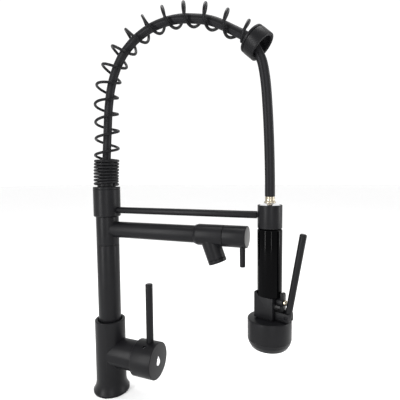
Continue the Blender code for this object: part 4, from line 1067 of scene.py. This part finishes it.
def make_valve_block():
    foot, grip_foot = low("spray_valve_block").z, low("handle_sleeve").z
    back, front, half, height = -13.5, 9.5, 11.4, 25.0 - CLEAR
    crest = height + 5.0
    ear = arc(6.0, math.radians(-90), math.radians(-165), 12, back + 9.0, height + 6.0)
    outline = [
        (back, 0), (front, 0), (front, height), *ear,
        (back + 2.0, crest + 0.4), (back + 0.8, crest), (back, crest - 1.4),
    ]
    standing = at_spray(z=foot, turn=SIDEWAYS) @ Matrix.Translation((0, 0, -half * MM))
    part = solid("spray_valve_housing", slab(outline, 2 * half, 0.7, standing))
    at = at_spray(z=foot)
    lug_end, lug_h, slot = 25.9, 9.4, 4.15
    join(part, block((0, -6.0, 0), (lug_end, 6.0, lug_h), 0.8, at))
    cut(part, block((17.75, -slot, -2), (lug_end + 5, slot, lug_h + 3), 0.0, at))
    bore(part, 14.0, grip_foot - CLEAR, grip_foot + 30, FINE, place(REACH))
    bore(part, 4.6, foot - 3, foot + 40, TINY, place(REACH))
    pin_at = at_spray(22.5, foot + 5.0, SIDEWAYS)
    bore(part, 1.8, -9.0, 9.0, TINY, pin_at)
    valve_z = grip_foot - 5.5
    forward = at_spray(z=valve_z, turn=ALONG_X)
    bore(part, 4.4, back + 4.0, 20.0, SLIM, forward)
    finish(part, "spray", "satin_black", "spray_valve_block", 26)
    piece("trigger_axle", rod(1.5, -5.8, 5.8, 0.4, TINY, pin_at), "spray", "satin_black", "trigger_pin")
    cap_at = at_spray(z=foot + 13.5, turn=ALONG_X)
    cap = solid("housing_plug", rod(4.5, back - 2.7, back - CLEAR, 0.1, SLIM, cap_at, 0.6))
    cut(cap, block((-3.0, -0.5, back - 4.0), (3.0, 0.5, back - 2.0), 0.0, cap_at))
    finish(cap, "spray", "satin_black", "valve_end_cap")
    clip, clip_h, clip_foot = 13.7 + 2 * CLEAR, 10.6, foot + lug_h + CLEAR - valve_z
    bonnet = solid("plunger_guide", rod(5.0, front + CLEAR, clip + 3.4, 0.8, SLIM, forward, 0.2))
    outline = rounded(
        [(clip, clip_foot), (clip + 4.0, clip_foot), (clip + 4.0, clip_h, 2.0), (clip, clip_h, 0.9)]
    )
    clip_at = at_spray(z=valve_z, turn=SIDEWAYS) @ Matrix.Translation((0, 0, -3.4 * MM))
    join(bonnet, slab(outline, 6.8, 0.4, clip_at))
    bore(bonnet, 3.3, front - 2.0, clip + 6.0, TINY, forward)
    finish(bonnet, "spray", "satin_black", "valve_bonnet", 26)


def make_trigger():
    foot = low("spray_valve_block").z
    hinge_z, base, top, rise, r = foot + 5.0, 22.5, 39.0, 92.0, 3.75
    lean = math.atan2(top - base, rise)
    at = at_spray(base, hinge_z, Matrix.Rotation(lean, 4, "Y"))
    length = rise / math.cos(lean)
    corners = [(0, length), (r, length, 1.6), (r, -4.1, 1.4), (0, -4.1)]
    lever = solid("trigger_bar", lathe(rounded(corners, 7), SLIM, at))
    axle = at_spray(base, hinge_z, SIDEWAYS)
    bore(lever, 1.8, -9.0, 9.0, TINY, axle)
    finish(lever, "trigger", "satin_black", "trigger_lever")
    valve_z = low("handle_sleeve").z - 5.5
    tip = base + (valve_z - hinge_z) * math.tan(lean) - r / math.cos(lean) - 2 * CLEAR
    back, front, neck = -9.5, 9.5, 3.0
    corners = [
        (0, tip), (neck, tip, 0.9), (neck, front - 2.0), (4.1, front - 2.0), (4.1, front - 4.5),
        (1.6, front - 4.5),
        (1.6, back + 6.5), (3.6, back + 6.5), (3.6, back + 4.0), (0, back + 4.0),
    ]
    forward = at_spray(z=valve_z, turn=ALONG_X)
    piece("plunger", lathe(rounded(corners), SLIM, forward), "plunger", "pale_brass", "trigger_plunger")


def make_spray_head():
    sizes = bpy.context.scene.faucet_spray
    foot, top = span("spray_head_shell")
    r = high("spray_head_shell").x - REACH
    height, side, mouth = top - foot, 9.4, r - 5.6
    corners = [
        (5.2, height), (r / 2, height, 1.0), (r, height - 1.05, 1.6), (r, side + 0.7, 0.15),
        (r - 0.25, side + 0.45), (r, side + 0.2, 0.15), (r, side, 1.0), (r - 1.3, 5.0, 1.0),
        (r - 3.6, 1.0, 0.6), (r - 4.6, 0, 0.3), (mouth, 0, 0.2), (mouth, 3.2), (r - 2.2, side + 1.5),
        (r - 2.2, height - 4.0), (5.2, height - 4.0),
    ]
    mesh = lathe(rounded(corners), FINE, place(REACH, z=foot))
    piece("spray_bell", mesh, "spray", "satin_black", "spray_head_shell")
    at = place(REACH, z=foot)
    mesh = tube(mouth - CLEAR, 6.3, 0.7, 3.0, 0.5, FINE, at)
    piece("spray_disc", mesh, "spray", "grey_plastic", "spray_face_plate")
    pad = solid("soft_nozzle_backing", tube(mouth - CLEAR, 6.3, 3.3, 5.0, 0.3, SLIM, at))
    nozzle_r = sizes.nozzle_radius / MM
    nub = lathe(rounded([(0, -2.4), (0.7 * nozzle_r, -2.4, 0.15), (nozzle_r, 0.6), (0, 0.6)], 2), 16)
    places = []
    for ring in range(sizes.nozzle_rings):
        ring_r = 8.4 + 3.6 * ring
        count = 14 + 7 * ring
        for k in range(count):
            angle = 2 * math.pi * (k + 0.5 * (ring % 2)) / count
            places.append((ring_r * math.cos(angle), ring_r * math.sin(angle), 2.9, angle))
    nubs = copies("soft_nozzles", nub, places, "black_rubber")
    nubs.data.transform(at)
    add_mesh(pad, nubs)
    finish(pad, "spray", "black_rubber", "spray_nozzle_pad")
    jet = solid("stream_outlet", rod(6.0, 1.1, 5.6, 0.3, SLIM, at))
    cut(jet, rod(4.4, 0.0, 2.6, 0.3, SLIM, at, 0.0))
    web = block((-4.6, -0.25, 1.5), (4.6, 0.25, 2.9), 0.05)
    bars = [(0, offset, 0, 0) for offset in (-2.4, -1.2, 0.0, 1.2, 2.4)]
    crossing = [(offset, 0, 0, math.pi / 2) for offset in (-2.4, -1.2, 0.0, 1.2, 2.4)]
    grid = copies("stream_grid", web, bars + crossing, "grey_plastic")
    grid.data.transform(at)
    add_mesh(jet, grid)
    finish(jet, "spray", "grey_plastic", "jet_insert")


# --- Inner pieces that keep their solid's shape ---
INNER_PIECES = {
    "cartridge_body": "white_plastic", "cartridge_nut": "pale_brass", "cartridge_turret": "grey_plastic",
    "cartridge_stem": "pale_brass", "swivel_core": "pale_brass", "o_ring_lower": "black_rubber",
    "o_ring_upper": "black_rubber", "hose_fitting": "pale_brass", "valve_headwork": "pale_brass",
    "valve_stem": "pale_brass", "handle_core": "pale_brass", "hot_inlet": "pale_brass",
    "cold_inlet": "pale_brass",
}


# --- Operators ---
class Maker:
    """Runs the makers of one group of pieces."""

    makers = ()

    def execute(self, context):
        for make in self.makers:
            make()
        return {"FINISHED"}


class FAUCET_OT_body(Maker, Operator):
    """Turned body with its flange, side stub and base seal"""

    bl_idname = "faucet.body"
    bl_label = "Body"
    makers = (make_body, make_base_gasket)


class FAUCET_OT_column(Maker, Operator):
    """Column tube above the body"""

    bl_idname = "faucet.column"
    bl_label = "Column"
    makers = (make_column,)


class FAUCET_OT_deck_fixings(Maker, Operator):
    """Threaded shank, nut and washers under the worktop"""

    bl_idname = "faucet.deck_fixings"
    bl_label = "Deck fixings"
    makers = (make_deck_fixings,)


class FAUCET_OT_side_handle(Maker, Operator):
    """Side handle: valve cover, barrel, bar, grub screw and drop badge"""

    bl_idname = "faucet.side_handle"
    bl_label = "Side handle"
    makers = (make_valve_cover, make_side_handle)


class FAUCET_OT_spout(Maker, Operator):
    """Pot-filler arm, its valve barrel and aerator"""

    bl_idname = "faucet.spout"
    bl_label = "Pot filler"
    makers = (make_spout, make_spout_valve)


class FAUCET_OT_valve_knob(Maker, Operator):
    """Knob of the pot filler's valve, with its face and finger bar"""

    bl_idname = "faucet.valve_knob"
    bl_label = "Valve knob"
    makers = (make_valve_knob,)


class FAUCET_OT_docking_arm(Maker, Operator):
    """Collar, docking bar and cup that hold the spray"""

    bl_idname = "faucet.docking_arm"
    bl_label = "Docking arm"
    makers = (make_docking_arm,)


class FAUCET_OT_spring(Maker, Operator):
    """Wound spring arch and the post at its foot"""

    bl_idname = "faucet.spring"
    bl_label = "Spring arch"
    makers = (make_spring,)


class FAUCET_OT_hose(Maker, Operator):
    """Woven hose through the arch and down to the spray, with its end fittings"""

    bl_idname = "faucet.hose"
    bl_label = "Hose"
    makers = (make_hoses, make_end_ring, make_hose_end)


class FAUCET_OT_spray(Maker, Operator):
    """Spray: glossy grip, valve housing, trigger, bell and nozzles"""

    bl_idname = "faucet.spray"
    bl_label = "Spray"
    makers = (make_spray_grip, make_valve_block, make_trigger, make_spray_head)


class FAUCET_OT_inner_pieces(Operator):
    """Finishes for the inner pieces that keep their solid's shape"""

    bl_idname = "faucet.inner_pieces"
    bl_label = "Inner pieces"

    def execute(self, context):
        surfaces = finishes()
        for name, slot in INNER_PIECES.items():
            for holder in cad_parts[name].material_slots:
                holder.material = surfaces[slot]
        return {"FINISHED"}


CAMERA_AT = (0.2955, -0.3809, 0.2926)
HEADING, DIP, ROLL = 22.73, 3.77, -0.54  # the camera's turns, in degrees
LENS, SENSOR = 31.15, 36.0
FLOOR_HALF = 12.0
LIGHTS_AIM = (0.10, 0.0, 0.25)


def make_stage():
    scene = bpy.context.scene
    sizes = scene.faucet_stage
    floor_mesh = bmesh.new()
    bmesh.ops.create_grid(floor_mesh, x_segments=1, y_segments=1, size=FLOOR_HALF)
    floor = solid("studio_floor", floor_mesh)
    floor.data.materials.append(
        grained("studio_floor_paint", sizes.floor, 0.6, 0.75, 0.02, 60.0, 2.0, 0.01, specular=0.2)
    )
    room = bpy.data.worlds.new("white_room")
    room.use_nodes = True
    light = room.node_tree.nodes["Background"]
    light.inputs["Color"].default_value = (1.0, 1.0, 1.0, 1.0)
    light.inputs["Strength"].default_value = sizes.surround
    scene.world = room
    lamps = (
        ("left_strip", (-0.45, -1.11, 0.45), (0.12, 1.2), sizes.key),
        ("front_strip", (0.79, -1.17, 0.40), (0.06, 1.0), sizes.key * 0.4),
        ("right_strip", (1.42, 0.51, 0.45), (0.24, 1.2), sizes.key * 0.75),
        ("top_softbox", (0.10, 0.10, 1.40), (0.8, 0.5), sizes.key * 0.7),
    )
    for name, at, (wide, tall), power in lamps:
        data = bpy.data.lights.new(name, "AREA")
        data.shape = "RECTANGLE"
        data.size, data.size_y = wide, tall
        data.energy = power
        lamp = bpy.data.objects.new(name, data)
        scene.collection.objects.link(lamp)
        lamp.location = at
        lamp.rotation_euler = (Vector(LIGHTS_AIM) - Vector(at)).to_track_quat("-Z", "Y").to_euler()
    data = bpy.data.cameras.new("product_camera")
    data.lens, data.sensor_width = LENS, SENSOR
    data.clip_start, data.clip_end = 0.01, 20.0
    camera = bpy.data.objects.new("product_camera", data)
    scene.collection.objects.link(camera)
    camera.matrix_world = Matrix.Translation(CAMERA_AT)
    for degrees, axis in ((HEADING, "Z"), (90.0 - DIP, "X"), (ROLL, "Z")):
        camera.matrix_world = camera.matrix_world @ turned_by(degrees, axis)
    scene.camera = camera
    scene.view_settings.view_transform = "Standard"


class FAUCET_OT_stage(Maker, Operator):
    """Pale floor, white room, soft lights and camera"""

    bl_idname = "faucet.stage"
    bl_label = "Studio"
    makers = (make_stage,)


OPERATORS = (
    FAUCET_OT_stage, FAUCET_OT_hose, FAUCET_OT_spring, FAUCET_OT_body, FAUCET_OT_column,
    FAUCET_OT_deck_fixings, FAUCET_OT_side_handle, FAUCET_OT_spout, FAUCET_OT_valve_knob,
    FAUCET_OT_docking_arm, FAUCET_OT_spray, FAUCET_OT_inner_pieces,
)
SETTINGS = {
    "faucet_finish": FaucetFinish, "faucet_spring": FaucetSpring, "faucet_spray": FaucetSpray,
    "faucet_stage": FaucetStage,
}


class FAUCET_PT_panel(Panel):
    """Sizes, colours and pieces of the faucet"""

    bl_idname = "FAUCET_PT_panel"
    bl_label = "Pull-down faucet"
    bl_space_type = "VIEW_3D"
    bl_region_type = "UI"
    bl_category = "Faucet"

    def draw(self, context):
        for setting, group in SETTINGS.items():
            part = self.layout.box()
            for label in group.__annotations__:
                part.prop(getattr(context.scene, setting), label)
        for operator in OPERATORS:
            self.layout.operator(operator.bl_idname)


def register():
    for group in (*SETTINGS.values(), *OPERATORS, FAUCET_PT_panel):
        bpy.utils.register_class(group)
    for setting, group in SETTINGS.items():
        setattr(bpy.types.Scene, setting, PointerProperty(type=group))


def unregister():
    for setting in SETTINGS:
        delattr(bpy.types.Scene, setting)
    for group in reversed((*SETTINGS.values(), *OPERATORS, FAUCET_PT_panel)):
        bpy.utils.unregister_class(group)


def main():
    register()
    for operator in OPERATORS:
        family, action = operator.bl_idname.split(".")
        getattr(getattr(bpy.ops, family), action)()


if __name__ == "__main__":
    main()
